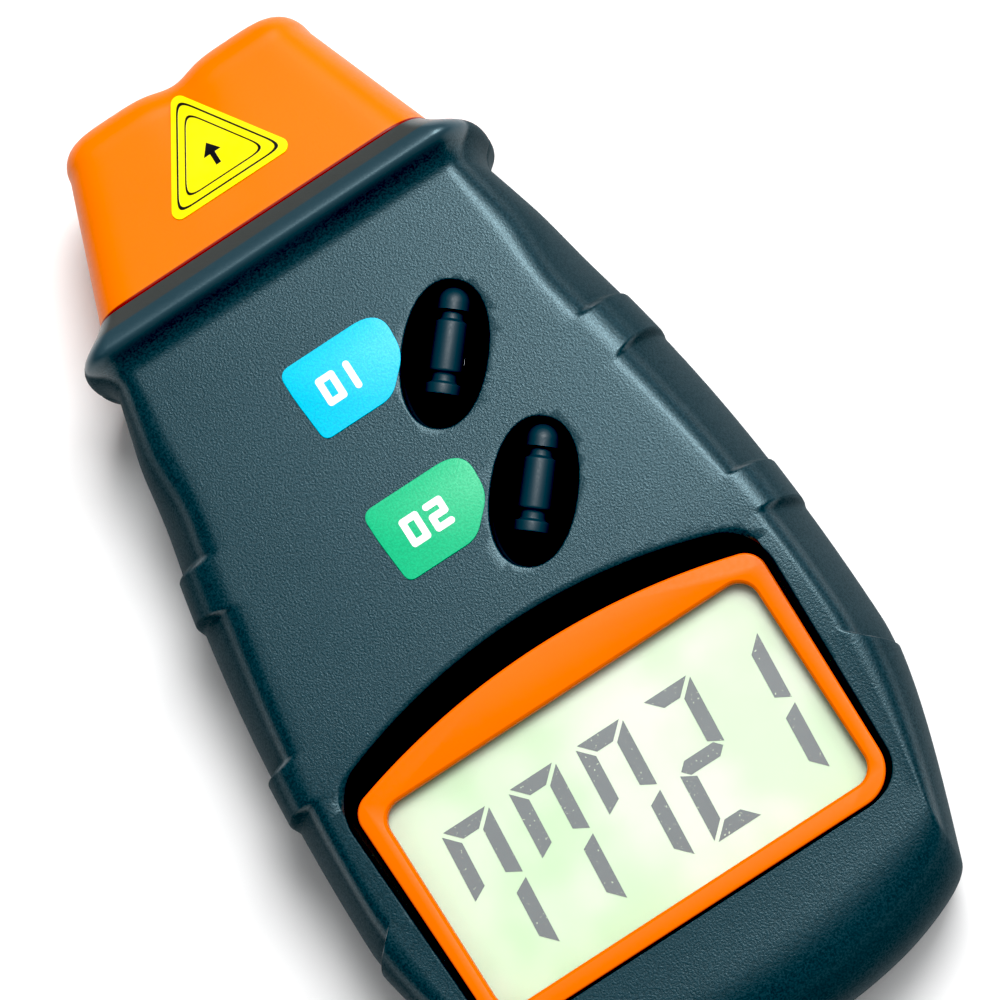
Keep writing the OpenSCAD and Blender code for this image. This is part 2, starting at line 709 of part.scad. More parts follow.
module switch_housing(at) {
    color([0.12, 0.12, 0.12]) translate([at.x, at.y, board_top]) difference() {
        translate([-3, -3, 0]) cube([6, 6, switch_h]);
        translate([0, 0, switch_h - 1.8]) cylinder(h = 3, r = plunger_r + 0.08, $fn = 32);
    }
}

module plunger(at) {
    color([0.6, 0.6, 0.6]) translate([at.x, at.y, board_top + switch_h - 0.8])
        cylinder(h = button_foot - board_top - switch_h + 0.8, r = plunger_r, $fn = 32);
}

// A capsule that lies along its well: domed end, neck, barrel, groove and end disc
module button(at) {
    back = -button_l / 2;
    color([0.06, 0.06, 0.07]) {
        turned(at) translate([button_shift, 0, button_z]) rotate([0, 90, 0]) rotate_extrude($fn = 48)
            polygon(concat(
                [[0, back], [1.9, back], [2.1, back + 0.2], [2.1, back + 1.1], [1.9, back + 1.3],
                 [1.55, back + 1.5], [1.55, back + 2.4], [1.98, back + 2.7], [1.9, back + 8.5],
                 [1.35, back + 8.7], [1.35, back + 9.5], [1.95, back + 9.7]],
                [for (a = [0:15:90]) [1.95 * cos(a), back + 10.6 + 2 * sin(a)]]));
        post(at, stem_r, button_foot, button_z);
    }
}

// Battery and its door

module battery() {
    top_y = battery_low_y + battery_l;
    color([0.2, 0.2, 0.22])
        block(-battery_w / 2, battery_w / 2, battery_low_y, top_y, battery_z, battery_z + battery_t);
    color([0.8, 0.8, 0.8]) for (s = [-1, 1])
        rod(s * terminal_x, battery_z + battery_t / 2, 2.8, top_y, top_y + 1.8);
}

module battery_snap() {
    low_y = battery_low_y + battery_l;
    mid_z = battery_z + battery_t / 2;
    color([0.1, 0.1, 0.1]) difference() {
        union() {
            block(-12.8, 12.8, low_y + 1.9, low_y + 3.6, mid_z - 6.8, mid_z + 6.8);
            for (s = [-1, 1]) rod(s * terminal_x, mid_z, 4.4, low_y + 0.2, low_y + 2);
        }
        for (s = [-1, 1]) rod(s * terminal_x, mid_z, 2.85, low_y - 1, low_y + 1.85);
    }
}

module battery_leads() {
    y = battery_low_y + battery_l + 3.6;
    z = battery_z + battery_t / 2;
    for (s = [-1, 1]) color(s < 0 ? [0.7, 0.1, 0.1] : [0.1, 0.1, 0.1])
        lead([[s * 3, y + touch, z], [s * 3, y + 5, z], [s * 2.5, y + 4, z - 5],
            [s * 2, board_low_y + 4, 9], [s * 2, board_low_y + 4, board_top - board_t - touch]], 0.6);
}

module battery_door() {
    grip_y = -21;
    color(shell_grey) to_depth(door_t) difference() {
        intersection() {
            union() {
                block(-door_w / 2, door_w / 2, door_low_y, door_high_y, 0, door_t);
                block(-door_w / 2 - door_tongue, door_w / 2 + door_tongue, door_low_y, door_high_y,
                    door_lip + 0.1, door_t);
            }
            translate([0, 0, seam_h]) mirror([0, 0, 1]) half_body(false);
        }
        // Thumb grip: short grooves that narrow like an arrow, and an arrowhead
        for (i = [0:4]) block(-7.5 + i * 0.9, 7.5 - i * 0.9, grip_y - i * 2, grip_y - i * 2 + 0.9, -1, 0.55);
        translate([0, grip_y - 13.5, -1]) linear_extrude(1.5) polygon([[-4, 3], [4, 3], [0, -2]]);
    }
}

module case_screws() {
    color([0.7, 0.7, 0.72]) for (s = [-1, 1], at = [low_screw, high_screw]) difference() {
        union() {
            post([s * at.x, at.y], 2.6, 3.2, 5.15);
            post([s * at.x, at.y], 1.1, 5, seam_h + 6.5);
        }
        translate([s * at.x, at.y, 3]) for (a = [0, 90]) rotate(a) cube([3, 0.6, 2], center = true);
    }
}

module board_screws() {
    low = board_top - board_t;
    color([0.7, 0.7, 0.72]) for (at = board_screw_at) difference() {
        union() {
            post(at, 1.9, low - 1.4, low);
            post(at, 0.85, low - 0.1, low + 6);
        }
        translate([at.x, at.y, low - 1.4]) for (a = [0, 90]) rotate(a) cube([2.4, 0.5, 1.4], center = true);
    }
}

// Printed tags

tag_t = 0.15;
tag_r = 1.1;

// Rounded outline through the middle points of circles
module rounded_polygon(points, r) {
    hull() for (p = points) translate(p) circle(r = r, $fn = 24);
}

// Five corners, with the lower right one cut off slantwise
module tag(at) {
    translate([at.x, at.y, face_h + 0.01]) linear_extrude(tag_t) rounded_polygon(
        [[1.5, 1.25], [8.7, 1.25], [12.1, 4.5], [12.5, 7.1], [11.1, 8.6], [2.2, 8.6], [1.2, 7.6]], tag_r);
}

module blue_tag() {
    color([0.0, 0.62, 0.85]) tag([-7.5, 17.2]);
}

module green_tag() {
    color([0.05, 0.62, 0.35]) tag([-8.1, -1.55]);
}

module pointer_sticker() {
    slope = atan((nose_up - tip_up) / (tip_y - nose_y));
    color([1, 0.87, 0.05]) translate([0, nose_y, seam_h + nose_up + 0.02]) rotate([-slope, 0, 0])
        linear_extrude(tag_t) rounded_polygon([[-6.8, 6.1], [6.7, 6.1], [-0.4, 17.3]], 1);
}

// Brings the middle of the length to the origin
translate([0, -(tip_end + low_end) / 2, 0]) {
    front_shell();
    rear_shell();
    nose_cap();
    display_frame();
    display_window();
    display_panel();
    display_digits();
    display_carrier();
    display_ribbon();
    circuit_board();
    main_chip();
    crystal();
    capacitors();
    button(mem_at);  // mem_button
    button(test_at);  // test_button
    plunger(mem_at);  // mem_plunger
    plunger(test_at);  // test_plunger
    switch_housing(mem_at);  // mem_switch
    switch_housing(test_at);  // test_switch
    optics_carrier();
    laser_barrel();
    laser_window();
    receiver_tube();
    receiver_lens();
    photodiode();
    optics_leads();
    battery();
    battery_snap();
    battery_leads();
    battery_door();
    case_screws();
    board_screws();
    blue_tag();
    green_tag();
    pointer_sticker();
}
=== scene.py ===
"""Looks of a hand-held laser tachometer: two grained shells, an orange nose with laser and receiver,
two buttons in oval wells, a framed liquid-crystal display, and the parts inside.

Shape functions work in millimetres: X is the width, +Y points to the nose and +Z out of the face.
make_object() moves their points by middle_y() and turns them into Blender's metres.
"""

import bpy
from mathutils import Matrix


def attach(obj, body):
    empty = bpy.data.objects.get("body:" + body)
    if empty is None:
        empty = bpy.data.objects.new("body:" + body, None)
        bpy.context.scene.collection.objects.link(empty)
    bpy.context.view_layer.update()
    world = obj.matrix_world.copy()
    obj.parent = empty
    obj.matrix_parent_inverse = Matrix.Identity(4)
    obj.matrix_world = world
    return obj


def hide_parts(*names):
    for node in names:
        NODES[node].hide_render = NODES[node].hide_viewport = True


bl_info = {
    "name": "Laser Tachometer",
    "version": (1, 0, 0),
    "blender": (4, 5, 0),
    "location": "3D View > Sidebar > Tachometer",
    "description": "Dresses a hand-held laser tachometer around its construction frame",
    "category": "Add Mesh",
}

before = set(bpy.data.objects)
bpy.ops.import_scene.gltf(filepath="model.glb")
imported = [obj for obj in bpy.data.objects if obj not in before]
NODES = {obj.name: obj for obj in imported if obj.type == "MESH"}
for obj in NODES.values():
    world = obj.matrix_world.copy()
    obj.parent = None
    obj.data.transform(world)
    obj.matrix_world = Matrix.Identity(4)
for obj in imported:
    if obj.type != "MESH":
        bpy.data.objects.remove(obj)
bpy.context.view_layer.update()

import math

import bmesh
import bpy
import numpy as np
from bpy.props import FloatProperty, FloatVectorProperty, IntProperty, PointerProperty
from mathutils import Matrix, Vector

MM = 0.001

# The end of the nose along +Y, before middle_y() is added, and the radius of its tip
TIP_END = 64.2
TIP_R = 3.5

# Edges that turn by more than this many degrees stay sharp, and points closer than this become one
SHARP_ANGLE = 32.0
MERGE_MM = 0.001

SENSOR_W = 36.0


# Sizes and colours that a user would change


def length(name, description, value):
    """A length in metres, with its default given in millimetres."""
    return FloatProperty(name=name, description=description, default=value * MM,
                         min=0.0, unit="LENGTH", subtype="DISTANCE", precision=5)


def colour(name, description, value):
    """A colour as linear light."""
    return FloatVectorProperty(name=name, description=description, default=value,
                               size=3, min=0.0, max=1.0, subtype="COLOR")


def two_figures(name, description, value):
    """A whole number from 0 to 99."""
    return IntProperty(name=name, description=description, default=value, min=0, max=99)


def view_angle(name, description, degrees):
    """An angle, with its default given in degrees."""
    return FloatProperty(name=name, description=description, default=math.radians(degrees),
                         subtype="ANGLE", unit="ROTATION")


class TachoBody(bpy.types.PropertyGroup):
    """Sizes of the moulded body."""
    total_length: length("Length", "From the bottom end to the tip of the nose", 131)
    width: length("Width", "Across the hips", 70)
    height: length("Height", "Of the collar's ridge above the back", 29)
    face_height: length("Face height", "Of the flat face above the back", 26)
    seam_height: length("Seam height", "Of the joint between the two shells", 13)
    wall: length("Wall", "Thickness of the shells", 2)
    grip_depth: length("Grip depth", "Depth of the finger scallops", 1.1)


class TachoLabels(bpy.types.PropertyGroup):
    """Plain numbers printed on the two tags."""
    upper_number: two_figures("Upper number", "Two figures on the upper tag", 1)
    lower_number: two_figures("Lower number", "Two figures on the lower tag", 2)
    figure_height: length("Figure height", "Height of the printed figures", 3.6)
    stroke_width: length("Stroke width", "Width of the strokes of the figures", 0.82)


class TachoColours(bpy.types.PropertyGroup):
    """Colours of the finishes, as linear light."""
    shell: colour("Shell", "Grained grey of both shells", (0.012, 0.027, 0.035))
    nose: colour("Nose", "Orange of the nose", (0.80, 0.163, 0.006))
    display_frame: colour("Display frame", "Orange of the display frame", (0.80, 0.145, 0.003))
    button: colour("Button", "Black of the buttons", (0.012, 0.034, 0.048))
    reflector: colour("Reflector", "Pale green behind the display's segments", (0.68, 0.81, 0.55))
    ink: colour("Segments", "Grey of the display's segments", (0.050, 0.065, 0.075))
    upper_tag: colour("Upper tag", "Blue of the upper tag", (0.008, 0.50, 0.72))
    lower_tag: colour("Lower tag", "Green of the lower tag", (0.018, 0.45, 0.205))
    sticker: colour("Sticker", "Yellow of the pointer sticker", (0.85, 0.74, 0.01))
    figures: colour("Figures", "White of the figures on the tags", (0.86, 0.88, 0.88))
    print_line: colour("Printed lines", "Black of the sticker's lines", (0.010, 0.010, 0.012))


class TachoView(bpy.types.PropertyGroup):
    """The camera's place."""
    distance: length("Distance", "From the camera to the point it looks at", 500)
    tilt: view_angle("Tilt", "Lean of the view towards the bottom end", 9.88)
    turn: view_angle("Turn", "Lean of the view towards the right", 2.24)
    roll: view_angle("Roll", "Turn of the picture", 32.76)
    lens: FloatProperty(name="Lens", description="Focal length on a 36 mm sensor", default=159.04,
                        min=1.0)


# Arithmetic on whole arrays


def mix(a, b, t):
    return a + (b - a) * t


def smooth(t):
    """The cubic 3t^2 - 2t^3, held at 0 before 0 and at 1 after 1."""
    u = np.clip(t, 0.0, 1.0)
    return u * u * (3 - 2 * u)


def bezier(points, t):
    """The curve with these control points at each t, by repeated mixing of neighbours."""
    p = np.asarray(points, float)[:, None, :]
    t = np.asarray(t, float)[None, :, None]
    while len(p) > 1:
        p = mix(p[:-1], p[1:], t)
    return p[0]


def find_t(points, y):
    """Where a rising curve passes each y."""
    t = np.linspace(0, 1, 2001)
    return np.interp(y, bezier(points, t)[:, 1], t)


def directions(degrees):
    """Flat unit vectors at these angles."""
    a = np.radians(degrees)
    return np.stack([np.cos(a), np.sin(a)], 1)


def arc(centre, r, start, end, steps):
    """Points on a circle from one angle to another, in degrees."""
    return np.asarray(centre) + r * directions(np.linspace(start, end, steps + 1))


def circle(sides):
    """Cosines and sines once round a circle."""
    a = np.arange(sides) * 2 * np.pi / sides
    return np.cos(a), np.sin(a)


def mirrored(points):
    """The same points at -x in the opposite order, along the second to last axis."""
    flipped = np.flip(points, axis=-2).copy()
    flipped[..., 0] *= -1
    return flipped


def at_height(outline, z):
    """A flat outline lifted to z, which is a number or one value for each point."""
    return np.column_stack([outline, np.broadcast_to(z, len(outline))])


# Meshes


def middle_y():
    """How far the shapes are moved along +Y so that the middle of the length lies at the origin."""
    return bpy.context.scene.tacho_body.total_length / MM / 2 - TIP_END


def make_object(name, points, faces):
    """A mesh object from millimetres, tidied."""
    mesh = bpy.data.meshes.new(name)
    placed = (np.asarray(points, float) + [0, middle_y(), 0]) * MM
    mesh.from_pydata(placed.tolist(), [], [list(map(int, f)) for f in faces])
    obj = bpy.data.objects.new(name, mesh)
    bpy.context.scene.collection.objects.link(obj)
    tidy_mesh(obj)
    return obj


def tidy_mesh(obj):
    """Merges doubles, turns the faces outwards and shades smoothly up to SHARP_ANGLE."""
    bm = bmesh.new()
    bm.from_mesh(obj.data)
    bmesh.ops.remove_doubles(bm, verts=bm.verts, dist=MERGE_MM * MM)
    bmesh.ops.dissolve_degenerate(bm, edges=bm.edges, dist=MERGE_MM * MM * 0.1)
    bmesh.ops.recalc_face_normals(bm, faces=bm.faces)
    bm.to_mesh(obj.data)
    bm.free()
    obj.data.shade_smooth()
    obj.data.set_sharp_from_angle(angle=math.radians(SHARP_ANGLE))


def skin_faces(rows, columns, closed):
    """Quads of a grid of points; closed joins its last column to its first."""
    r = np.arange(rows - 1)[:, None] * columns
    c = np.arange(columns if closed else columns - 1)[None, :]
    d = (c + 1) % columns
    return np.stack([r + c, r + d, r + columns + d, r + columns + c], -1).reshape(-1, 4)


def loft(name, rings):
    """A closed solid through rings of equal counts, with a flat face on its first and last ring."""
    rings = np.asarray(rings, float)
    rows, columns = rings.shape[:2]
    faces = list(skin_faces(rows, columns, True))
    faces.append(np.arange(columns)[::-1])
    faces.append(np.arange(columns) + (rows - 1) * columns)
    return make_object(name, rings.reshape(-1, 3), faces)


def stack(name, outlines, heights):
    """A solid through flat outlines at heights."""
    return loft(name, [at_height(o, z) for o, z in zip(outlines, heights)])


def post(at, r, z0, z1, sides=48):
    """An upright cylinder."""
    ring = arc(at, r, 0, 360 - 360 / sides, sides - 1)
    return stack("post", [ring, ring], [z0, z1])


def block(x0, x1, y0, y1, z0, z1):
    """A box between these limits."""
    ring = np.array([[x0, y0], [x1, y0], [x1, y1], [x0, y1]], float)
    return stack("block", [ring, ring], [z0, z1])


def combine(base, others, operation):
    """Joins, cuts or crosses a solid with others, which it uses up."""
    for other in others:
        step = base.modifiers.new("combine", "BOOLEAN")
        step.operation = operation
        step.solver = "MANIFOLD"
        step.object = other
    graph = bpy.context.evaluated_depsgraph_get()
    mesh = bpy.data.meshes.new_from_object(base.evaluated_get(graph))
    base.modifiers.clear()
    old, base.data = base.data, mesh
    bpy.data.meshes.remove(old)
    for other in others:
        spent = other.data
        bpy.data.objects.remove(other)
        bpy.data.meshes.remove(spent)
    return base


def finish_piece(obj, name, body, material, replaces=()):
    """Names a piece, tidies and paints it, and sets it on its body."""
    obj.name = name
    obj.data.name = name
    tidy_mesh(obj)
    obj.data.materials.clear()
    obj.data.materials.append(material)
    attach(obj, body)
    if replaces:
        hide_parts(*replaces)
    return obj


# Finishes


class Value:
    """A shader socket that arithmetic adds Math nodes to."""

    def __init__(self, finish, socket):
        self.finish = finish
        self.socket = socket

    def math(self, operation, *others):
        settings = {"operation": operation}
        return self.finish.node("ShaderNodeMath", settings, [self, *others])

    def __add__(self, other):
        return self.math("ADD", other)

    def __mul__(self, other):
        return self.math("MULTIPLY", other)

    def __sub__(self, other):
        return self.math("SUBTRACT", other)

    def __rsub__(self, other):
        return (self * -1.0) + other

    def __pow__(self, other):
        return self.math("POWER", other)

    __radd__ = __add__
    __rmul__ = __mul__

    def clip(self, low=0.0, high=1.0):
        return self.math("MAXIMUM", low).math("MINIMUM", high)

    def ramp(self, low, high, bottom=0.0, top=1.0):
        """Rises smoothly from bottom at low to top at high."""
        settings = {"interpolation_type": "SMOOTHSTEP"}
        sockets = {"Value": self, "From Min": low, "From Max": high, "To Min": bottom, "To Max": top}
        return self.finish.node("ShaderNodeMapRange", settings, sockets)


def scaled(base, k):
    """A colour times a number, at most 1 in each channel."""
    return tuple(min(1.0, c * k) for c in base)


def tinted(base, tint):
    """A colour times another, channel by channel."""
    return tuple(c * k for c, k in zip(base, tint))


class Finish:
    """A material whose nodes are added by name, with one Principled shader at its end."""

    def __init__(self, name, **sockets):
        self.material = bpy.data.materials.new(name)
        self.material.use_nodes = True
        self.tree = self.material.node_tree
        self.tree.nodes.clear()
        self.shader = self.tree.nodes.new("ShaderNodeBsdfPrincipled")
        output = self.tree.nodes.new("ShaderNodeOutputMaterial")
        self.tree.links.new(self.shader.outputs[0], output.inputs["Surface"])
        for key, value in sockets.items():
            self.set(key.replace("_", " "), value)

    def set(self, socket, value):
        """Sets or links a socket of the shader."""
        self.put(self.shader.inputs[socket], value)

    def put(self, socket, value):
        if isinstance(value, Value):
            self.tree.links.new(value.socket, socket)
        elif isinstance(value, (tuple, list)) and len(value) == 3 and socket.type == "RGBA":
            socket.default_value = (*value, 1.0)
        else:
            socket.default_value = value

    def node(self, kind, settings, sockets, output=0):
        """Any node, with its settings first and then the values or links of its sockets."""
        made = self.tree.nodes.new(kind)
        for key, value in settings.items():
            setattr(made, key, value)
        items = sockets.items() if isinstance(sockets, dict) else enumerate(sockets)
        for key, value in items:
            self.put(made.inputs[key], value)
        return Value(self, made.outputs[output])

    def place(self):
        """A point of the surface, in the object's own metres."""
        return self.node("ShaderNodeTexCoord", {}, {}, "Object")

    def axis(self, letter):
        """One coordinate of the surface's point, in millimetres."""
        return self.node("ShaderNodeSeparateXYZ", {}, [self.place()], letter) * (1 / MM)

    def along(self):
        """How far the surface's point lies towards the nose, in the shape functions' own millimetres."""
        return self.axis("Y") - middle_y()

    def noise(self, size, detail=2.0, roughness=0.5):
        """Noise from 0 to 1 whose blobs are about this many millimetres wide."""
        scale = 1 / MM / size
        sockets = {"Vector": self.place(), "Scale": scale, "Detail": detail, "Roughness": roughness}
        return self.node("ShaderNodeTexNoise", {}, sockets)

    def mix_colour(self, factor, a, b):
        settings = {"data_type": "RGBA"}
        return self.node("ShaderNodeMix", settings, {0: factor, 6: a, 7: b}, 2)

    def shade(self, factor, base, dark, light):
        """Runs from dark times the base colour to light times the base colour."""
        return self.mix_colour(factor, scaled(base, dark), scaled(base, light))

    def flow(self, skin):
        """The faint pattern of moulded plastic: slow clouds with some of the skin's fine grain."""
        return (self.noise(12.0) * 0.6 + skin * 0.4).clip()

    def bump(self, height, depth):
        """Raises the surface by height times depth, which is in millimetres."""
        self.set("Normal", self.node("ShaderNodeBump", {}, {"Height": height, "Distance": depth * MM}))


def well_mask(f, at):
    """1 inside the oval well of a button and 0 outside it."""
    x = f.axis("X") - at[0]
    y = f.along() - at[1]
    c, s = math.cos(math.radians(BUTTON_TURN)), math.sin(math.radians(BUTTON_TURN))
    u = (x * c + y * s) * (2 / WELL_L)
    v = (y * c - x * s) * (2 / WELL_W)
    return (u * u + v * v).ramp(1.0, 0.94)


def pocket_mask(f):
    """1 inside the display's pocket and 0 outside it.

    Its upper side is an arc, its lower side is straight, and it is wider at the top than at the bottom.
    How far a point has come within POCKET_R of each side is squared and added up, which rounds the
    corners.
    """
    x, y = f.axis("X"), f.along()
    rise = y - (BROW_TOP_Y - BROW_R)
    from_arc = (x * x + rise * rise) ** 0.5 - (BROW_R - POCKET_R)
    from_side = x.math("ABSOLUTE") - (y - POCKET_MIDDLE_Y) * POCKET_FLARE - (POCKET_HALF_W - POCKET_R)
    from_low = (FRAME_BOTTOM_Y - 0.25 + POCKET_R) - y
    reach = [d.math("MAXIMUM", 0.0) for d in (from_arc, from_side, from_low)]
    return (sum((d * d for d in reach), 0.0) ** 0.5).ramp(POCKET_R + 0.1, POCKET_R - 0.2)


def grained_shell(name, base, body):
    """Spark-eroded plastic on the face, rough on the sides, smooth on the collar; painted shade darkens
    the sides' colour.

    A side is whatever lies more than half a millimetre below the face, which falls towards the bottom
    end. Painted reflection makes the collar's ridge bluish and its land browner. Painted shade colours
    the wells and the display's pocket nearly black.
    """
    f = Finish(name)
    f.set("Specular IOR Level", 0.56)
    f.set("Specular Tint", (0.62, 0.90, 1.0))
    y, z = f.along(), f.axis("Z")
    pits = f.noise(0.25, roughness=0.6)
    cloud = f.noise(11.0)
    fall = y.ramp(body.fall_start_y - body.fall_length, body.fall_start_y, body.face_fall, 0.0)
    side = (z + fall).ramp(body.face_h - 0.5, body.face_h - 2.2)
    collar = y.ramp(body.neck_y + 2.2, body.neck_y + 3.2)
    # Painted shade: the wells and the display's pocket are coloured nearly black.
    wells = sum((well_mask(f, at) for at in BUTTONS.values()), 0.0)
    painted_recess_shade = (wells + pocket_mask(f)).clip()
    grain = (pits.ramp(0.36, 0.64) * 0.8 + cloud * 0.2).clip()
    skin = f.shade(grain, base, 0.55, 1.55)
    # Painted shade: the sides take a darker colour than the face.
    painted_side_shade = f.shade(grain, base, 0.50, 1.10)
    # Painted reflection: the ridge is bluish like the face's sheen, and the land browner like the orange
    # nose that it faces.
    ridge = f.mix_colour(cloud, (0.024, 0.044, 0.056), (0.030, 0.054, 0.068))
    land = f.mix_colour(cloud, (0.042, 0.043, 0.040), (0.054, 0.053, 0.050))
    collar_painted_reflection = f.mix_colour(y.ramp(body.ridge_y + 1.6, body.ridge_y + 1.8), ridge, land)
    tone = f.mix_colour(side, f.mix_colour(collar, skin, collar_painted_reflection), painted_side_shade)
    # Painted shade: six hundredths of the base colour in the wells and the pocket.
    f.set("Base Color", f.mix_colour(painted_recess_shade, tone, scaled(base, 0.06)))
    f.set("Roughness", (pits.ramp(0.4, 0.6, 0.37, 0.31) + side * 0.50 + painted_recess_shade * 0.60).clip(0.0, 0.95))
    smoothness = (side * 0.6 + collar * 0.85 + painted_recess_shade).clip()
    f.bump(pits * (smoothness * -0.9 + 1.0), 0.036)
    return f.material


def satin_plastic(name, base, rough, depth=0.004, size=0.5, gloss=0.5):
    """Smooth moulded plastic with a faint flow pattern and a soft surface."""
    f = Finish(name)
    f.set("Specular IOR Level", gloss)
    skin = f.noise(size, roughness=0.6)
    f.set("Base Color", f.shade(f.flow(skin), base, 0.9, 1.1))
    f.set("Roughness", skin.ramp(0.3, 0.7, rough * 1.1, rough * 0.9))
    f.bump(skin, depth)
    return f.material


def nose_plastic(name, base, body):
    """Soft orange plastic, with painted shade as a thin dark red edge where it meets the collar."""
    f = Finish(name)
    f.set("Specular IOR Level", 0.25)
    # Painted shade: a thin dark red band along the foot, where the nose meets the collar.
    foot = f.along().ramp(body.nose_y + 0.78, body.nose_y + 0.55)
    skin = f.noise(0.35, roughness=0.6)
    clean = f.shade(f.flow(skin), base, 0.9, 1.1)
    f.set("Base Color", f.mix_colour(foot, clean, tinted(base, (0.25, 0.04, 1.0))))
    f.set("Roughness", skin.ramp(0.3, 0.7, 0.48, 0.40))
    f.bump(skin, 0.010)
    return f.material


def printed_film(name, base):
    """Screen print that follows the grain under it."""
    f = Finish(name)
    f.set("Specular IOR Level", 0.3)
    pits = f.noise(0.27, 3.0, 0.62)
    f.set("Base Color", f.shade(pits.ramp(0.36, 0.66), base, 0.9, 1.1))
    f.set("Roughness", pits.ramp(0.3, 0.7, 0.44, 0.36))
    f.bump(pits, 0.02)
    return f.material


def band(value, low, high, soft=0.03):
    """1 where a value lies between low and high, with soft ends."""
    half = (high - low) / 2
    return (value - (low + high) / 2).math("ABSOLUTE").ramp(half + soft, half - soft)


def pointer_print(name, base, ink, corners, radius):
    """A film with two thin lines that follow its edge and an arrow in the middle.

    The distance from the edge is the least of the distances from the three sides, with the corners eased.
    """
    f = Finish(name)
    f.set("Specular IOR Level", 0.3)
    x, y = f.axis("X"), f.along()
    inside = None
    for a, b in zip(corners, corners[1:] + corners[:1]):
        run = (Vector(b) - Vector(a)).normalized()
        side = (y - a[1]) * run.x - (x - a[0]) * run.y
        inside = side if inside is None else inside.math("SMOOTH_MIN", side, 2.2)
    edge = inside + (radius + 0.1)
    across = (x - sum(c[0] for c in corners) / 3).math("ABSOLUTE")
    along = y - sum(c[1] for c in corners) / 3
    head = (along + across * 1.3).ramp(1.55, 1.45) * along.ramp(-0.05, 0.05)
    stem = across.ramp(0.36, 0.30) * band(along, -1.5, 0.2)
    ink_mask = (band(edge, 0.78, 1.0) + band(edge, 1.75, 1.93) + head + stem).clip()
    flow = f.noise(3.0)
    paper = f.shade(flow, base, 0.96, 1.04)
    f.set("Base Color", f.mix_colour(ink_mask, paper, ink))
    f.set("Roughness", flow.ramp(0.3, 0.7, 0.34, 0.28))
    f.bump(ink_mask, 0.01)
    return f.material


def reflector_sheet(name, base):
    """Reflector of the display: cloudy from pale green to white, greyed near the frame's edges by painted
    shade.
    """
    f = Finish(name)
    x = f.axis("X")
    # Painted shade: greyer within four millimetres of the frame's sides and five of its top.
    sides = (VIEW_HALF_W - x.math("ABSOLUTE")).ramp(0.0, 4.0, 0.80, 1.0)
    upper = (VIEW_TOP_Y - f.along()).ramp(0.0, 5.0, 0.80, 1.0)
    fibre = f.noise(0.5, roughness=0.6)
    # The colour of the painted shade near the frame.
    frame_shade = tinted(base, (0.45, 0.42, 0.52))
    green = tinted(base, (0.68, 0.86, 0.70))
    white = tinted(base, (1.02, 0.99, 1.12))
    warmth = f.noise(16.0).ramp(0.40, 0.62) * 0.6 + x.ramp(-20.0, 10.0) * 0.4
    clean = f.mix_colour(warmth * (fibre * 0.12 + 0.94), green, white)
    f.set("Base Color", f.mix_colour((sides * upper).clip(), frame_shade, clean))
    f.set("Roughness", fibre.ramp(0.3, 0.7, 0.6, 0.5))
    f.bump(fibre, 0.002)
    return f.material


def segment_ink(name, base, paper):
    """Liquid-crystal segments with tiny pale specks."""
    f = Finish(name)
    specks = f.noise(0.35, roughness=0.7).ramp(0.66, 0.72)
    cloud = f.noise(5.0)
    grey = f.shade(cloud, base, 0.85, 1.2)
    f.set("Base Color", f.mix_colour(specks * 0.8, grey, paper))
    f.set("Roughness", cloud.ramp(0.3, 0.7, 0.5, 0.4))
    return f.material


TRACK_PITCH = 1.27
BATTERY_CAP_Y = -28.0


def board_lacquer(name, base):
    """Green lacquer over rows of copper tracks."""
    f = Finish(name)
    weave = f.noise(1.2)
    rows = (f.axis("X") * (1 / TRACK_PITCH)).math("FRACT")
    gaps = f.noise(6.0, detail=1.0).ramp(0.48, 0.52)
    tracks = band(rows, 0.3, 0.7, 0.06) * gaps
    lacquer = f.shade(weave, base, 0.85, 1.1)
    over_copper = (base[0] + 0.04, base[1] * 1.9, base[2] * 1.6)
    f.set("Base Color", f.mix_colour(tracks, lacquer, over_copper))
    f.set("Roughness", tracks * -0.08 + 0.34)
    f.bump(tracks, 0.02)
    return f.material


def battery_sleeve(name, base, cap_colour):
    """Printed metal sleeve whose terminal end is another colour, with a thin pale line between."""
    f = Finish(name, Metallic=0.6)
    y = f.along()
    cloud = f.noise(6.0)
    cap = y.ramp(BATTERY_CAP_Y + 0.1, BATTERY_CAP_Y - 0.1, 1.0, 0.0)
    line = band(y, BATTERY_CAP_Y - 1.2, BATTERY_CAP_Y - 0.2)
    sleeve = f.mix_colour(cap, f.shade(cloud, base, 0.9, 1.1), cap_colour)
    f.set("Base Color", f.mix_colour(line, sleeve, (0.75, 0.75, 0.72)))
    f.set("Roughness", cloud.ramp(0.3, 0.7, 0.34, 0.26))
    f.bump(cloud, 0.01)
    return f.material


def turned_metal(name, base, rough):
    """Bare metal with a very fine grain."""
    f = Finish(name, Metallic=1.0)
    grain = f.noise(0.18)
    f.set("Base Color", f.shade(grain, base, 0.85, 1.1))
    f.set("Roughness", grain.ramp(0.3, 0.7, rough * 1.2, rough * 0.8))
    f.bump(grain, 0.004)
    return f.material


def clear_sheet(name, base, alpha):
    """Clear plastic or glass that light passes straight through."""
    f = Finish(name, Alpha=alpha)
    f.set("Base Color", base)
    f.set("Roughness", f.noise(4.0).ramp(0.2, 0.8, 0.03, 0.06))
    return f.material


def paint_node(node, material):
    """Gives a carried-over construction node its finish."""
    mesh = NODES[node].data
    mesh.materials.clear()
    mesh.materials.append(material)


# Body outline


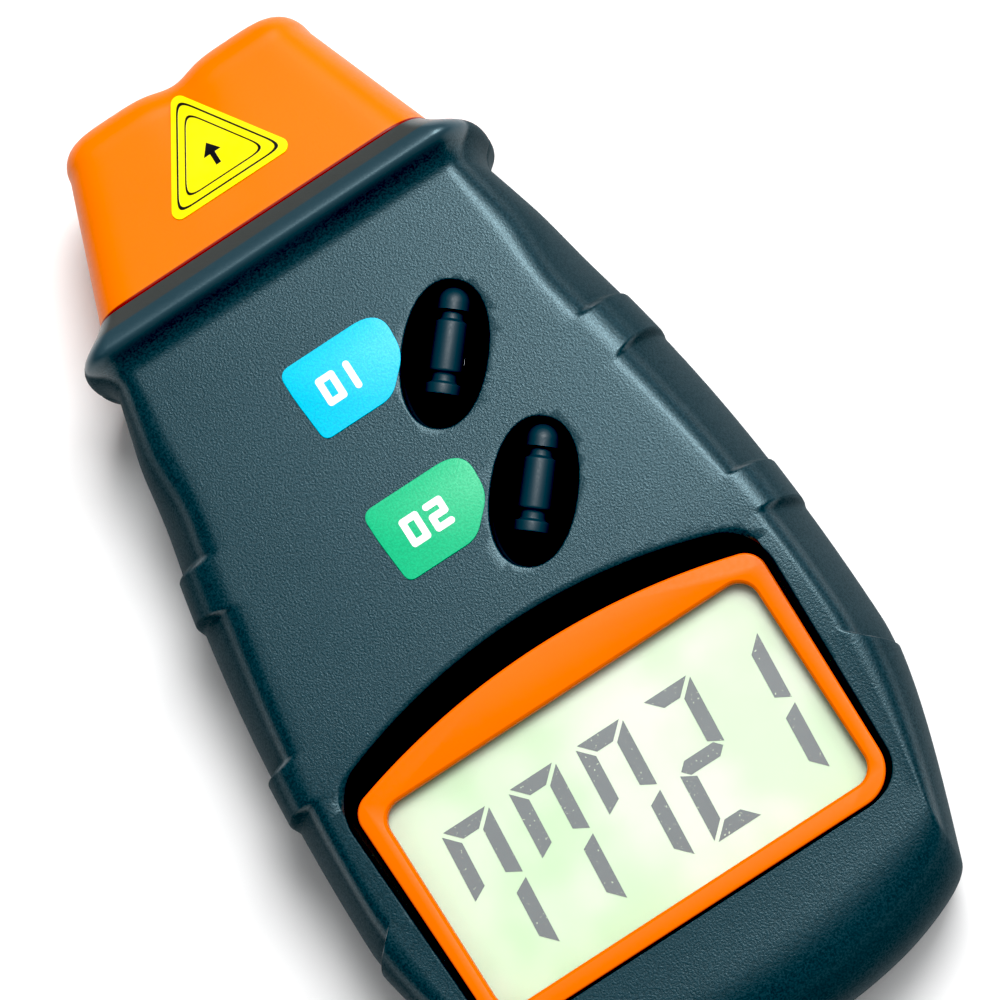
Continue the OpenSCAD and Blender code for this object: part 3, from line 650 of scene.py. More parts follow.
class Body:
    """The body's outline curves and heights in millimetres, worked out from the driving sizes."""

    hip_y = -32.0
    fall_start_y = -11.0
    fall_length = 44.0
    face_fall = 2.3
    neck_half = 25.2
    neck_y = 35.8
    collar_half = 27.1
    ridge_y = 39.5
    nose_y = 42.9
    fullness = 0.8
    back_round = 4.2
    back_rise = 2.5
    back_rise_y = 8.0
    rib_y = 11.7
    rib_pitch = 25.2
    rib_width = 6.0
    rib_count = 3
    grip_top_y = 29.0
    grip_fade = 10.0
    face_neck_half = 20.8
    collar_top_half = 21.8
    land_half = 23.2
    land_top_half = 18.6
    nose_gap = 0.3
    nose_wall = 1.6
    nose_half = (22.8, 16.5)
    nose_flat_half = (16.2, 10.8)
    nose_rise = (13.9, 11.3)
    nose_depth = (10.8, 8.4)
    spigot_length = 4.2

    def __init__(self, sizes):
        self.half_w = sizes.width / MM / 2
        self.height = sizes.height / MM
        self.face_h = sizes.face_height / MM
        self.seam_h = sizes.seam_height / MM
        self.wall = sizes.wall / MM
        self.grip_depth = sizes.grip_depth / MM
        low = TIP_END - sizes.total_length / MM
        hip = [self.half_w, self.hip_y]
        neck = [self.neck_half, self.neck_y]
        self.seam_end = [[0, low], [12, low], [19, low + 2.2]]
        self.seam_corner = [self.seam_end[2], [26.4, low + 4.5], [27.2, low + 6.8]]
        self.seam_hip = [self.seam_corner[2], [30.1, -52], [self.half_w, -39], hip]
        self.seam_flank = [hip, [self.half_w, -2], [self.neck_half + 5.7, 16.3], neck]
        self.face_end = [[0, -56.8], [10, -56.8], [24.6, -53]]
        self.face_corner = [self.face_end[2], [27.3, -52.3], [27.6, -50.5]]
        self.face_hip = [self.face_corner[2], [28.3, -46], [29.8, -36], [29.8, -28]]
        self.face_flank = [self.face_hip[3], [29.8, -6], [21.8, 15], [self.face_neck_half, self.neck_y]]

    def face_z(self, y):
        """Height of the face: flat to fall_start_y, then falling smoothly towards the bottom end."""
        return self.face_h - self.face_fall * smooth((self.fall_start_y - y) / self.fall_length)

    def back_fall(self, y):
        """Depth of the back below the seam: it lifts a little towards the neck."""
        share = (y - self.back_rise_y) / (self.neck_y - self.back_rise_y)
        return self.seam_h - self.back_rise * smooth(share)

    def ribs(self):
        """Where the middles of the ribs lie along the side, from the highest down."""
        return [self.rib_y - i * self.rib_pitch for i in range(self.rib_count)]

    def grip(self, y):
        """1 in the finger scallops, and 0 on the ribs, under the lowest rib and above the top scallop."""
        half, soft = self.rib_width / 2, 0.45
        depth = smooth((self.grip_top_y - y) / self.grip_fade)
        ribs = self.ribs()
        for rib in ribs:
            above = smooth((y - rib - half + soft) / (2 * soft))
            below = smooth((rib - half + soft - y) / (2 * soft))
            if rib == ribs[-1]:
                below = below * 0
            depth = depth * np.maximum(above, below)
        return depth

    def end_rows(self):
        """Rows along the bottom end, all facing inwards along +Y; the first lies on the middle line."""
        t = np.linspace(0.15, 1, 13)
        p, q = bezier(self.seam_end, t), bezier(self.face_end, t)
        p, q = (np.concatenate([line[:1] * [0, 1], line]) for line in (p, q))
        return [p, q, np.full(len(p), 90.0), np.zeros(len(p))]

    def corner_rows(self):
        """Rows round the bottom corner, where the inward angle turns from 90 to 180 degrees."""
        t = np.linspace(0, 1, 19)[1:]
        p, q = bezier(self.seam_corner, t), bezier(self.face_corner, t)
        return [p, q, mix(90, 180, t), np.zeros(len(t))]

    def side_rows(self):
        """Rows up the side to the neck, with closer ones where a scallop meets a rib."""
        low_y = self.seam_corner[2][1]
        steps = [np.arange(low_y + 0.9, self.neck_y - 0.4, 1.15), [self.neck_y]]
        for rib in self.ribs():
            for edge in (rib - self.rib_width / 2, rib + self.rib_width / 2):
                steps.append(edge + np.linspace(-0.6, 0.6, 9))
        y = np.unique(np.round(np.concatenate(steps), 3))
        y = y[np.concatenate([[True], np.diff(y) > 0.08])]
        low, high = y[y < self.hip_y], y[y >= self.hip_y]
        low_t, high_t = find_t(self.seam_hip, low), find_t(self.seam_flank, high)
        p = np.concatenate([bezier(self.seam_hip, low_t), bezier(self.seam_flank, high_t)])
        q = np.concatenate([bezier(self.face_hip, low_t), bezier(self.face_flank, high_t)])
        return [p, q, np.full(len(y), 180.0), self.grip(y)]

    def rows(self):
        """Rows up the right side: seam point, face edge, inward angle, grip, rise, fall, back rounding."""
        p, q, turn, grip = join_rows(self.end_rows(), self.corner_rows(), self.side_rows())
        rise = self.face_z(q[:, 1]) - self.seam_h
        fall = self.back_fall(p[:, 1])
        return [p, q, turn, grip, rise, fall, np.full(len(p), self.back_round)]

    def flat_rows(self, y, half, top_half, up, down, rounding=None):
        """Rows square to the body's length, for the collar and the nose's spigot."""
        n = len(y)
        if rounding is None:
            rounding = np.full(n, self.back_round)
        p = np.stack([half, y], 1)
        q = np.stack([top_half, y], 1)
        return [p, q, np.full(n, 180.0), np.zeros(n), up, down, rounding]

    def collar_rows(self):
        """The cove that rises to the collar's ridge, and the slope from the ridge to the nose."""
        land = 0.6
        cove = [[self.neck_y, 0], [self.neck_y + 2.6, 0.1], [self.ridge_y - 1.1, 1], [self.ridge_y, 1]]
        slope = [[self.ridge_y, 1], [self.ridge_y + 1.2, 1], [self.nose_y - 1.5, 0.75],
                 [self.nose_y, land]]
        y, s = bezier(cove, np.linspace(0, 1, 15)[1:]).T
        low = self.collar_part(y, s, mix(self.neck_half, self.collar_half, s),
                               mix(self.face_neck_half, self.collar_top_half, s))
        y, s = bezier(slope, np.linspace(0, 1, 13)[1:]).T
        u = (1 - s) / (1 - land)
        high = self.collar_part(y, s, mix(self.collar_half, self.land_half, u),
                                mix(self.collar_top_half, self.land_top_half, u))
        return join_rows(low, high)

    def collar_part(self, y, s, half, top_half):
        """Rows whose rise and depth run from those of the face to those of the ridge by s."""
        up = mix(self.face_h - self.seam_h, self.height - self.seam_h, s)
        down = mix(self.seam_h - self.back_rise, self.seam_h, s)
        return self.flat_rows(y, half, top_half, up, down)

    def nose_size(self, y, inset):
        """Half-width, half-width of the flat, rise and depth of the nose at y, inset from its skin."""
        t = (np.asarray(y, float) - self.nose_y) / (TIP_END - TIP_R - self.nose_y)
        return [mix(*self.nose_half, t) - inset, mix(*self.nose_flat_half, t) - inset * 0.8,
                mix(*self.nose_rise, t) - inset, mix(*self.nose_depth, t) - inset]

    def spigot_rows(self):
        """The spigot that reaches into the nose."""
        y = np.array([self.nose_y + 0.01, self.nose_y + self.spigot_length])
        half, top_half, up, down = self.nose_size(y, self.nose_wall + self.nose_gap)
        return self.flat_rows(y, half, top_half, up, down, half - top_half)

    def all_rows(self):
        """Every row from the bottom end to the end of the spigot."""
        return join_rows(self.rows(), self.collar_rows(), self.spigot_rows())

    def arch(self, rows, front, steps=26, across=38):
        """Sections from the right seam over the shoulder and the flat to the left seam.

        The shoulder follows x = q + (p - q) cos^k and z = rise sin^k over a quarter turn, with k below 1,
        so that it is fuller than an ellipse. In a scallop it is drawn in by grip_depth, which a sine
        spreads over the shoulder, and a fine step parts the scallop from the face. The seam has a small
        chamfer.
        """
        p, q, turn, grip, rise, fall, rounding = (np.asarray(r)[:, None] for r in rows)
        v = np.linspace(0, 1, steps + 1)
        v = mix(v, smooth(v), 0.5)[None, :]
        inwards = directions(turn[:, 0])
        px, py = p[:, 0, 0][:, None], p[:, 0, 1][:, None]
        if front:
            qx, qy, up = q[:, 0, 0][:, None], q[:, 0, 1][:, None], rise
        else:
            qx, qy, up = px + rounding * inwards[:, :1], py + rounding * inwards[:, 1:], fall
        c = np.cos(np.pi / 2 * v) ** self.fullness
        s = np.sin(np.pi / 2 * v) ** self.fullness
        scallop = self.grip_depth * grip * (0.2 + np.sin(np.radians(162 * v)))
        step = 0.1 * grip * smooth((0.97 - v) / 0.04) if front else 0.0
        chamfer = 0.16 * np.clip(1 - up * s / 0.22, 0, 1)
        pull = scallop * (0.5 + 0.5 * np.cos(np.pi / 2 * v)) + step + chamfer
        x = qx + (px - qx) * c + pull * inwards[:, :1]
        y = qy + (py - qy) * c + pull * inwards[:, 1:]
        z = up * s - 0.6 * scallop * np.sin(np.pi * v)
        right = np.stack([x, y, z], -1)
        right[:, :, 0] = np.maximum(right[:, :, 0], 0)
        k = np.linspace(1, -1, across + 1)[1:-1]
        flat = np.repeat(right[:, -1:, :], len(k), axis=1)
        flat[:, :, 0] *= k[None, :]
        ring = np.concatenate([right, flat, mirrored(right)], axis=1)
        ring[:, :, 2] = self.seam_h + (ring[:, :, 2] if front else -ring[:, :, 2])
        return ring

    def hollow(self, front):
        """The space inside one half, begun a little past the seam so that the cut is clean.

        It is coarser than the skin: past the bottom corner only every fifth row is kept, as far as the
        throat that leads into the nose.
        """
        rows = self.rows()
        fine, throat_start = 30, 31
        keep = np.ones(len(rows[0]), bool)
        keep[fine:] = np.arange(len(rows[0]) - fine) % 5 == 0
        keep &= rows[0][:, 1] < throat_start
        p, q, turn, grip, rise, fall, rounding = (r[keep] for r in rows)
        inwards = directions(turn)
        t = self.wall
        p = p + t * inwards
        q = q + (t + 0.8) * inwards
        inner = [p, q, turn, grip * 0, rise - t, fall - t, rounding - t + 0.6]
        throat = self.flat_rows(
            np.array([self.neck_y + 1, self.nose_y + 8]), half=np.array([22.2, 17.2]),
            top_half=np.array([18, 12.2]), up=np.array([10.8, 9.6]), down=np.array([8.2, 7.0]))
        rings = self.arch(join_rows(inner, throat), front, 10, 6)
        first, last = rings[:, :1].copy(), rings[:, -1:].copy()
        first[:, :, 2] = last[:, :, 2] = self.seam_h + (-1.0 if front else 1.0)
        return loft("hollow", np.concatenate([first, rings, last], axis=1))


def join_rows(*parts):
    """Joins lists of columns end to end, column by column."""
    return [np.concatenate(columns) for columns in zip(*parts)]


# Outlines of the display and of the wells

FRAME_HALF_W = 26.95
FRAME_TOP_Y = -14.9
FRAME_BOTTOM_Y = -49.75
FRAME_H = 23.9
FRAME_CROWN_R = 87.3
FRAME_TOP_R = 2.8
FRAME_LOW_R = 4.5
FRAME_TAPER = 0.65
FRAME_GAP = 0.15
BROW_HALF_W = 27.6
BROW_TOP_Y = -11.2
BROW_R = 71.0
POCKET_R = 4.4
POCKET_HALF_W = 27.7
POCKET_MIDDLE_Y = -32.0
POCKET_FLARE = 0.037
POCKET_FLOOR = 22.4
LEDGE_BOTTOM = 20.9
VIEW_HALF_W = 24.4
VIEW_BOTTOM_Y = -47.4
VIEW_TOP_Y = -20.9
VIEW_R = 2.4
GLASS_HALF_W = VIEW_HALF_W + 0.7
GLASS_BOTTOM_Y = VIEW_BOTTOM_Y - 0.65
GLASS_TOP_Y = VIEW_TOP_Y + 0.65
PANEL_BOTTOM = 19.6


def crowned(half, low_half, low_y, top_y, crown_r, top_r, low_r):
    """A rounded outline whose top edge is an arc of crown_r, from the right of its bottom middle on."""
    corner_x = half - top_r
    crown_y = top_y - crown_r
    corner_y = crown_y + math.sqrt((crown_r - top_r) ** 2 - corner_x ** 2)
    meet = math.degrees(math.atan2(corner_y - crown_y, corner_x))
    side_y = np.linspace(low_y + low_r, corner_y, 14)[1:-1]
    side_x = np.interp(side_y, [low_y + low_r, corner_y], [low_half, half])
    right = np.concatenate([
        np.stack([np.linspace(0.6, low_half - low_r, 12)[:-1], np.full(11, low_y)], 1),
        arc([low_half - low_r, low_y + low_r], low_r, -90, 0, 12),
        np.stack([side_x, side_y], 1),
        arc([corner_x, corner_y], top_r, 0, meet, 12),
        arc([0, crown_y], crown_r, meet, 90 - 0.3, 16)[1:]])
    return np.concatenate([right, mirrored(right)])


def frame_outline(grow):
    """The display frame's outline, moved outwards by grow."""
    return crowned(FRAME_HALF_W + grow, FRAME_HALF_W - FRAME_TAPER + grow, FRAME_BOTTOM_Y - grow,
                   FRAME_TOP_Y + grow, FRAME_CROWN_R + grow, FRAME_TOP_R + grow, FRAME_LOW_R + grow)


def brow_outline():
    """The outline of the pocket at the height of the face."""
    return crowned(BROW_HALF_W, BROW_HALF_W - 0.85, FRAME_BOTTOM_Y - 0.35, BROW_TOP_Y, BROW_R, 3.6, 4.8)


def rounded_rectangle(half, y0, y1, r):
    """An outline whose four corners have the radius r."""
    low, high = arc([half - r, y0 + r], r, -90, 0, 10), arc([half - r, y1 - r], r, 0, 90, 10)
    right = np.concatenate([low, high])
    return np.concatenate([right, mirrored(right)])


def rounded_plate(half, y0, y1, r, z0, z1):
    """A plate between two heights with rounded corners."""
    ring = rounded_rectangle(half, y0, y1, r)
    return stack("plate", [ring, ring], [z0, z1])


def round_corners(profile, reach, steps=6):
    """A profile with each inner corner turned into a quadratic curve that starts this far from it.

    The reach is one number, or one for each point.
    """
    p = np.asarray(profile, float)
    parts = [p[:1]]
    for a, b, c, r in zip(p[:-2], p[1:-1], p[2:], np.broadcast_to(reach, len(p))[1:]):
        first = b + (a - b) * min(0.5, r / np.linalg.norm(a - b))
        last = b + (c - b) * min(0.5, r / np.linalg.norm(c - b))
        parts.append(bezier([first, b, last], np.linspace(0, 1, steps + 1)))
    parts.append(p[-1:])
    return np.concatenate(parts)


def display_pocket(body):
    """Space for the display frame, with a sloped brow whose upper edge is rounded into the face.

    Each ring mixes the frame's seat and the brow's outline by f, and stands at a share of the way from
    the seat's height to the face's, so the rounding follows the face as it falls.
    """
    seat, brow = frame_outline(FRAME_GAP), brow_outline()
    profile = round_corners([[0, 0.0], [1.0, 1.0], [1.5, 1.0]], 0.28)
    rings = [at_height(seat, POCKET_FLOOR)]
    for f, h in profile:
        outline = mix(seat, brow, f)
        top = body.face_z(outline[:, 1]) + 0.02
        base = np.minimum(FRAME_H, top - 0.45)
        rings.append(at_height(outline, mix(base, top, h)))
    rings.append(at_height(mix(seat, brow, 1.5), body.face_h + 3))
    return loft("pocket", rings)


BUTTONS = {"mem": (9.66, 18.3), "test": (9.7, -0.4)}
BUTTON_TURN = 50.0
WELL_L = 17.0
WELL_W = 9.8
WELL_SLOPE = 0.5
WELL_FLOOR = 20.9
BUTTON_L = 12.4
BUTTON_Z = 23.65
BUTTON_SHIFT = 1.7
STEM_R = 1.5


def oval(length_mm, width_mm):
    """A slightly squared oval: x = l/2 cos^0.9, y = w/2 sin^0.9, with the signs kept."""
    points = 96
    a = (np.arange(points) + 0.5) * 2 * np.pi / points - np.pi / 2
    c, s = np.cos(a), np.sin(a)
    return np.stack([length_mm / 2 * np.sign(c) * np.abs(c) ** 0.9,
                     width_mm / 2 * np.sign(s) * np.abs(s) ** 0.9], 1)


def turned(points, at):
    """Points turned about the vertical by BUTTON_TURN and moved to a button's place."""
    a = math.radians(BUTTON_TURN)
    out = np.array(points, float)
    x, y = out[..., 0].copy(), out[..., 1].copy()
    out[..., 0] = at[0] + x * math.cos(a) - y * math.sin(a)
    out[..., 1] = at[1] + x * math.sin(a) + y * math.cos(a)
    return out


def well_space(body, at):
    """The oval hollow round a button: rounded lip, sloped wall and a rounded foot."""
    top, lip = body.face_h + 0.02, 0.9
    corners = [[-3.0, WELL_FLOOR], [-WELL_SLOPE, WELL_FLOOR], [0, top], [lip, top]]
    profile = [*round_corners(corners, 0.32, 7), (lip, top + 2)]
    rings = [turned(at_height(oval(WELL_L + 2 * g, WELL_W + 2 * g), z), at) for g, z in profile]
    return loft("well", rings)


def well_cup(body, at):
    """The solid that a well is cut from."""
    ring = turned(oval(WELL_L + 1.6, WELL_W + 1.6), at)
    return stack("cup", [ring, ring], [WELL_FLOOR - 1, body.face_h - 1])


BOARD_TOP = 17.0
BOARD_SCREWS = [(-15.0, 26.5), (-15.5, -4.0), (17.3, -4.6)]
BOARD_POST_R = 2.2
BOARD_PILOT_R = 0.9
LOW_SCREWS = [(21.0, -53.5), (-21.0, -53.5)]
HIGH_SCREWS = [(19.0, 30.0), (-19.0, 30.0)]
CASE_SCREWS = LOW_SCREWS + HIGH_SCREWS
CASE_POST_R = 2.9
CASE_PILOT_R = 1.15
CASE_HOLE_R = 1.6
CASE_HEAD_R = 2.9
CASE_HEAD_Z = 5.2
CASE_COLUMN_R = 3.6


def front_shell_solid(body):
    """The front half: outer skin less its hollow, with ledge, well cups and bosses, then its openings."""
    shell = loft("front", body.arch(body.all_rows(), True))
    combine(shell, [body.hollow(True)], "DIFFERENCE")
    added = [rounded_plate(BROW_HALF_W, FRAME_BOTTOM_Y - 0.3, FRAME_TOP_Y + 1.4, 5,
                           LEDGE_BOTTOM, POCKET_FLOOR + 0.4)]
    added += [well_cup(body, at) for at in BUTTONS.values()]
    added += [post(at, BOARD_POST_R, BOARD_TOP, body.face_h - 1) for at in BOARD_SCREWS]
    added += [post(at, CASE_POST_R, body.seam_h, body.face_h - 3.9) for at in LOW_SCREWS]
    added += [post(at, CASE_POST_R, body.seam_h, body.face_h - 1) for at in HIGH_SCREWS]
    combine(shell, added, "UNION")
    gap = 0.15
    cuts = [display_pocket(body),
            rounded_plate(GLASS_HALF_W + gap, GLASS_BOTTOM_Y - gap, GLASS_TOP_Y + gap, 0.8,
                          PANEL_BOTTOM - 1, POCKET_FLOOR + 1)]
    for at in BUTTONS.values():
        cuts += [well_space(body, at), post(at, STEM_R + 0.35, WELL_FLOOR - 2, WELL_FLOOR + 1, 32)]
    cuts += [post(at, BOARD_PILOT_R, BOARD_TOP - 1, BOARD_TOP + 5, 24) for at in BOARD_SCREWS]
    cuts += [post(at, CASE_PILOT_R, body.seam_h - 1, body.seam_h + 7, 24) for at in CASE_SCREWS]
    return combine(shell, cuts, "DIFFERENCE")


DOOR_HALF_W = 15.6
DOOR_T = 1.6
DOOR_LIP = 0.8
DOOR_GAP = 0.2
DOOR_TONGUE = 0.9
DOOR_LOW_Y = -67.5
DOOR_HIGH_Y = -11.6
THUMB_Y = -21.0
BAY_HALF_W = 13.8
BAY_LOW_Y = -62.0
BAY_HIGH_Y = -13.2
BAY_WALL_X = 14.9
BAY_RAIL_X = 16.4


def rear_shell_solid(body):
    """The rear half with its screw wells, battery bay, door groove and the mouth between the lips."""
    shell = loft("rear", body.arch(body.all_rows(), False))
    combine(shell, [body.hollow(False)], "DIFFERENCE")
    added = [post(at, CASE_COLUMN_R, 1, body.seam_h) for at in LOW_SCREWS]
    added += [post(at, CASE_COLUMN_R, 3, body.seam_h) for at in HIGH_SCREWS]
    for sign in (-1, 1):
        wall, rail = sign * BAY_WALL_X, sign * BAY_RAIL_X
        added.append(block(wall - 0.7, wall + 0.7, BAY_LOW_Y + 4.2, BAY_HIGH_Y, 1, 10))
        added.append(block(rail - 2.5, rail + 2.5, BAY_LOW_Y + 4.2, BAY_HIGH_Y + 2, 1, 3))
    added.append(block(-DOOR_HALF_W, DOOR_HALF_W, BAY_HIGH_Y, BAY_HIGH_Y + 4.6, 1, 3))
    combine(shell, added, "UNION")
    side = DOOR_HALF_W + DOOR_GAP
    groove = side + DOOR_TONGUE
    end = DOOR_HIGH_Y + DOOR_GAP
    cuts = [block(-BAY_HALF_W, BAY_HALF_W, BAY_LOW_Y, BAY_HIGH_Y, 0.5, 4),
            block(-groove, groove, DOOR_LOW_Y - 4, end, DOOR_LIP - 0.05, DOOR_T + 0.15),
            block(-side, side, DOOR_LOW_Y - 4, end, -1, DOOR_LIP)]
    cuts += [post(at, CASE_HOLE_R, -1, body.seam_h + 1, 32) for at in CASE_SCREWS]
    cuts += [post(at, CASE_HEAD_R, -1, CASE_HEAD_Z) for at in CASE_SCREWS]
    return combine(shell, cuts, "DIFFERENCE")


def door_solid(body):
    """The battery door: a plate with two tongues, cut to the body's rounding, with thumb grooves."""
    door = block(-DOOR_HALF_W, DOOR_HALF_W, DOOR_LOW_Y, DOOR_HIGH_Y, 0, DOOR_T)
    tongues = block(-DOOR_HALF_W - DOOR_TONGUE, DOOR_HALF_W + DOOR_TONGUE, DOOR_LOW_Y, DOOR_HIGH_Y,
                    DOOR_LIP + 0.1, DOOR_T)
    combine(door, [tongues], "UNION")
    combine(door, [loft("half", body.arch(body.all_rows(), False))], "INTERSECT")
    cuts = [block(-7.5 + i * 0.9, 7.5 - i * 0.9, THUMB_Y - i * 2, THUMB_Y - i * 2 + 0.9, -1, 0.55)
            for i in range(5)]
    arrow = np.array([[-4, 3], [0, -2], [4, 3]]) + [0, THUMB_Y - 13.5]
    cuts.append(stack("arrow", [arrow, arrow], [-1, 0.5]))
    return combine(door, cuts, "DIFFERENCE")


# Nose

OPTIC_X = 7.4
OPTIC_Z = 14.4
FRONT_WALL = 2.0
NOSE_FULLNESS = 0.6
VALLEY_DIP = 0.9
RECEIVER_R = 4.2
LASER_R = 2.8
WINDOW_SEAT_R = 3.7


def nose_half(half, top_half, up, steps, cells):
    """Upper or lower half of a section: right shoulder, flat, left shoulder."""
    v = np.linspace(0, 1, steps + 1)
    c, s = np.cos(np.pi / 2 * v) ** NOSE_FULLNESS, np.sin(np.pi / 2 * v) ** NOSE_FULLNESS
    right = np.stack([top_half + (half - top_half) * c, up * s], 1)
    k = np.linspace(1, -1, cells + 1)[1:-1]
    flat = np.stack([top_half * k, np.full(len(k), up)], 1)
    left = right[::-1] * [-1, 1]
    return np.concatenate([right, flat, left])


def nose_ring(body, y, size, dip, steps=22, cells=30):
    """A section at y. Between the two barrels, by a bell curve over x, it lies back and lower by dip."""
    half, top_half, rise, depth = size
    over = nose_half(half, top_half, rise, steps, cells)
    under = nose_half(half, top_half, -depth, steps, cells)
    ring = np.concatenate([over, under[-2:0:-1]])
    valley = dip * np.exp(-ring[:, 0] ** 2 / 9)
    return np.stack([ring[:, 0], y - valley, body.seam_h + ring[:, 1] * (1 - 0.045 * valley)], 1)


def bore(x, profile):
    """A solid turned about a line along +Y at the optics' height: profile gives (radius, y) pairs."""
    c, s = circle(64)
    return loft("bore", [np.stack([x + r * c, np.full(64, y), OPTIC_Z + r * s], 1) for r, y in profile])


def flared(r):
    """The profile of a bore that widens softly by a millimetre at the front of the nose."""
    return [[r, TIP_END - 4], [r, TIP_END - 0.7], [r + 0.15, TIP_END - 0.35], [r + 0.5, TIP_END - 0.08],
            [r + 1, TIP_END + 0.06], [r + 1, TIP_END + 1]]


def nose_solid(body):
    """The nose: a tapered hood with rounded front, two barrel openings and a thin wall."""
    tip_y = TIP_END - TIP_R
    rings = []
    foot = [[0.45, body.nose_y], [0.0, body.nose_y + 0.35], [0.0, body.nose_y + 1.2]]
    for inset, y in round_corners(foot, 0.25, 4):
        rings.append(nose_ring(body, y, body.nose_size(y, inset), 0))
    for t in np.linspace(0.09, 1, 22)[:-1]:
        y = mix(body.nose_y, tip_y, t)
        dip = np.interp(t, [0, 0.6, 0.85, 1], [0, 0.15, 0.5, VALLEY_DIP])
        rings.append(nose_ring(body, y, body.nose_size(y, 0), dip))
    for a in np.radians(np.linspace(0, 90, 12)):
        size = body.nose_size(tip_y, TIP_R * (1 - math.cos(a)))
        rings.append(nose_ring(body, tip_y + TIP_R * math.sin(a), size, VALLEY_DIP))
    cap = loft("nose", rings)
    inner = [nose_ring(body, y, body.nose_size(y, body.nose_wall), 0, 10, 6)
             for y in (body.nose_y - 1, TIP_END - FRONT_WALL)]
    seat = [[WINDOW_SEAT_R, TIP_END - 4], [WINDOW_SEAT_R, TIP_END - FRONT_WALL + 0.9]]
    cuts = [loft("inside", inner), bore(OPTIC_X, flared(RECEIVER_R)), bore(-OPTIC_X, flared(LASER_R)),
            bore(-OPTIC_X, seat)]
    return combine(cap, cuts, "DIFFERENCE")


# Display frame, buttons and labels


def display_frame_solid():
    """The orange frame: rounded outer edge, flat front and an opening that flares to the front."""
    outer = round_corners([[0, POCKET_FLOOR], [0, FRAME_H], [-1.5, FRAME_H]], 0.35, 5)[:-1]
    ring = loft("frame", [at_height(frame_outline(g), z) for g, z in outer])
    above = FRAME_H + 0.02
    flare = [[0, POCKET_FLOOR - 1], [0, FRAME_H - 0.35], [0.32, above], [1.2, above]]
    rings = []
    for g, z in [*round_corners(flare, 0.15, 4), (1.2, FRAME_H + 1)]:
        outline = rounded_rectangle(VIEW_HALF_W + g, VIEW_BOTTOM_Y - g, VIEW_TOP_Y + g, VIEW_R + g)
        rings.append(at_height(outline, z))
    return combine(ring, [loft("opening", rings)], "DIFFERENCE")


def button_solid(at):
    """A capsule lying along its well, turned from a profile of (radius, distance from its back end)."""
    back = -BUTTON_L / 2
    shoulders = round_corners([
        [0.0, back], [2.1, back], [2.1, back + 1.3], [1.5, back + 1.5], [1.5, back + 2.4],
        [1.98, back + 2.75], [1.9, back + 8.45], [1.35, back + 8.7], [1.35, back + 9.5],
        [1.95, back + 9.75]], 0.22, 5)
    dome = directions(np.linspace(0, 90, 16)) * [1.95, 2] + [0, back + 10.6]
    profile = np.concatenate([shoulders[1:], dome])
    c, s = circle(64)
    along = np.repeat(profile[:, 1:], 64, 1) + BUTTON_SHIFT
    rings = np.stack([along, profile[:, :1] * c, BUTTON_Z + profile[:, :1] * s], -1)
    capsule = loft("button", turned(rings, at))
    return combine(capsule, [post(at, STEM_R, BOARD_TOP + 3.65, BUTTON_Z, 32)], "UNION")


TAG_T = 0.15
TAG_CORNERS = [[4.5, 0.15], [9.6, 0.15], [13.3, 3.8], [13.7, 9.7], [0.1, 9.7], [0.1, 6.2], [0.55, 0.15],
               [4.5, 0.15]]
TAG_ROUNDING = [0, 1.5, 1.7, 3.7, 1.5, 1.2, 1.1, 0]
UPPER_TAG_AT = (-7.5, 17.2)
LOWER_TAG_AT = (-8.1, -1.55)
NUMBER_INSET = 3.5
FIGURE_W = 0.6
FIGURE_PITCH = 0.88
BARS = ["abcdef", "bc", "abged", "abgcd", "fgbc", "afgcd", "afgedc", "abc", "abcdefg", "abcdfg"]


def tag_solid(body, at):
    """A printed film with rounded corners, its upper edge drawn in a little towards its middle."""
    outline = round_corners(TAG_CORNERS, TAG_ROUNDING, 10)[:-1]
    middle = outline.mean(axis=0)
    z = body.face_h + 0.01
    edge = ((0, 0), (0, TAG_T * 0.6), (0.006, TAG_T * 0.9), (0.016, TAG_T))
    return loft("tag", [at_height(mix(outline, middle, g) + at, z + h) for g, h in edge])


def stroke(points, width):
    """A flat band of this width between two points, with round ends."""
    p = np.asarray(points, float)
    run = p[1] - p[0]
    turn = math.degrees(math.atan2(run[1], run[0]))
    far = arc(p[1], width / 2, turn - 90, turn + 90, 10)
    near = arc(p[0], width / 2, turn + 90, turn + 270, 10)
    return np.concatenate([far, near])


def figure_lines(figure):
    """Centre lines of a figure built from seven bars, in a box FIGURE_W wide and 1 high.

    BARS names the bars of each figure. A one, which has only its right side, is moved to the left.
    """
    w = FIGURE_W
    ends = {"a": ((0, 1), (w, 1)), "b": ((w, 1), (w, 0.5)), "c": ((w, 0.5), (w, 0)),
            "d": ((w, 0), (0, 0)), "e": ((0, 0), (0, 0.5)), "f": ((0, 0.5), (0, 1)),
            "g": ((0, 0.5), (w, 0.5))}
    shift = [-0.7 * w, 0] if figure == 1 else [0, 0]
    return [np.array(ends[bar], float) + shift for bar in BARS[figure]]


def number_solid(body, number, at, height, width):
    """A two-figure number printed on a tag whose corner is at this place."""
    z = body.face_h + TAG_T - 0.02
    solids = []
    for i, figure in enumerate(f"{number:02d}"):
        shift = np.array([at[0] + NUMBER_INSET + i * height * FIGURE_PITCH, at[1] + NUMBER_INSET])
        for line in figure_lines(int(figure)):
            outline = stroke(line * (height - width) + shift, width)
            solids.append(stack("bar", [outline, outline], [z, z + 0.07]))
    return combine(solids[0], solids[1:], "UNION")


STICKER_CORNERS = [[-6.8, 6.1], [6.7, 6.1], [-0.4, 17.3]]
STICKER_R = 1.0


# Stage

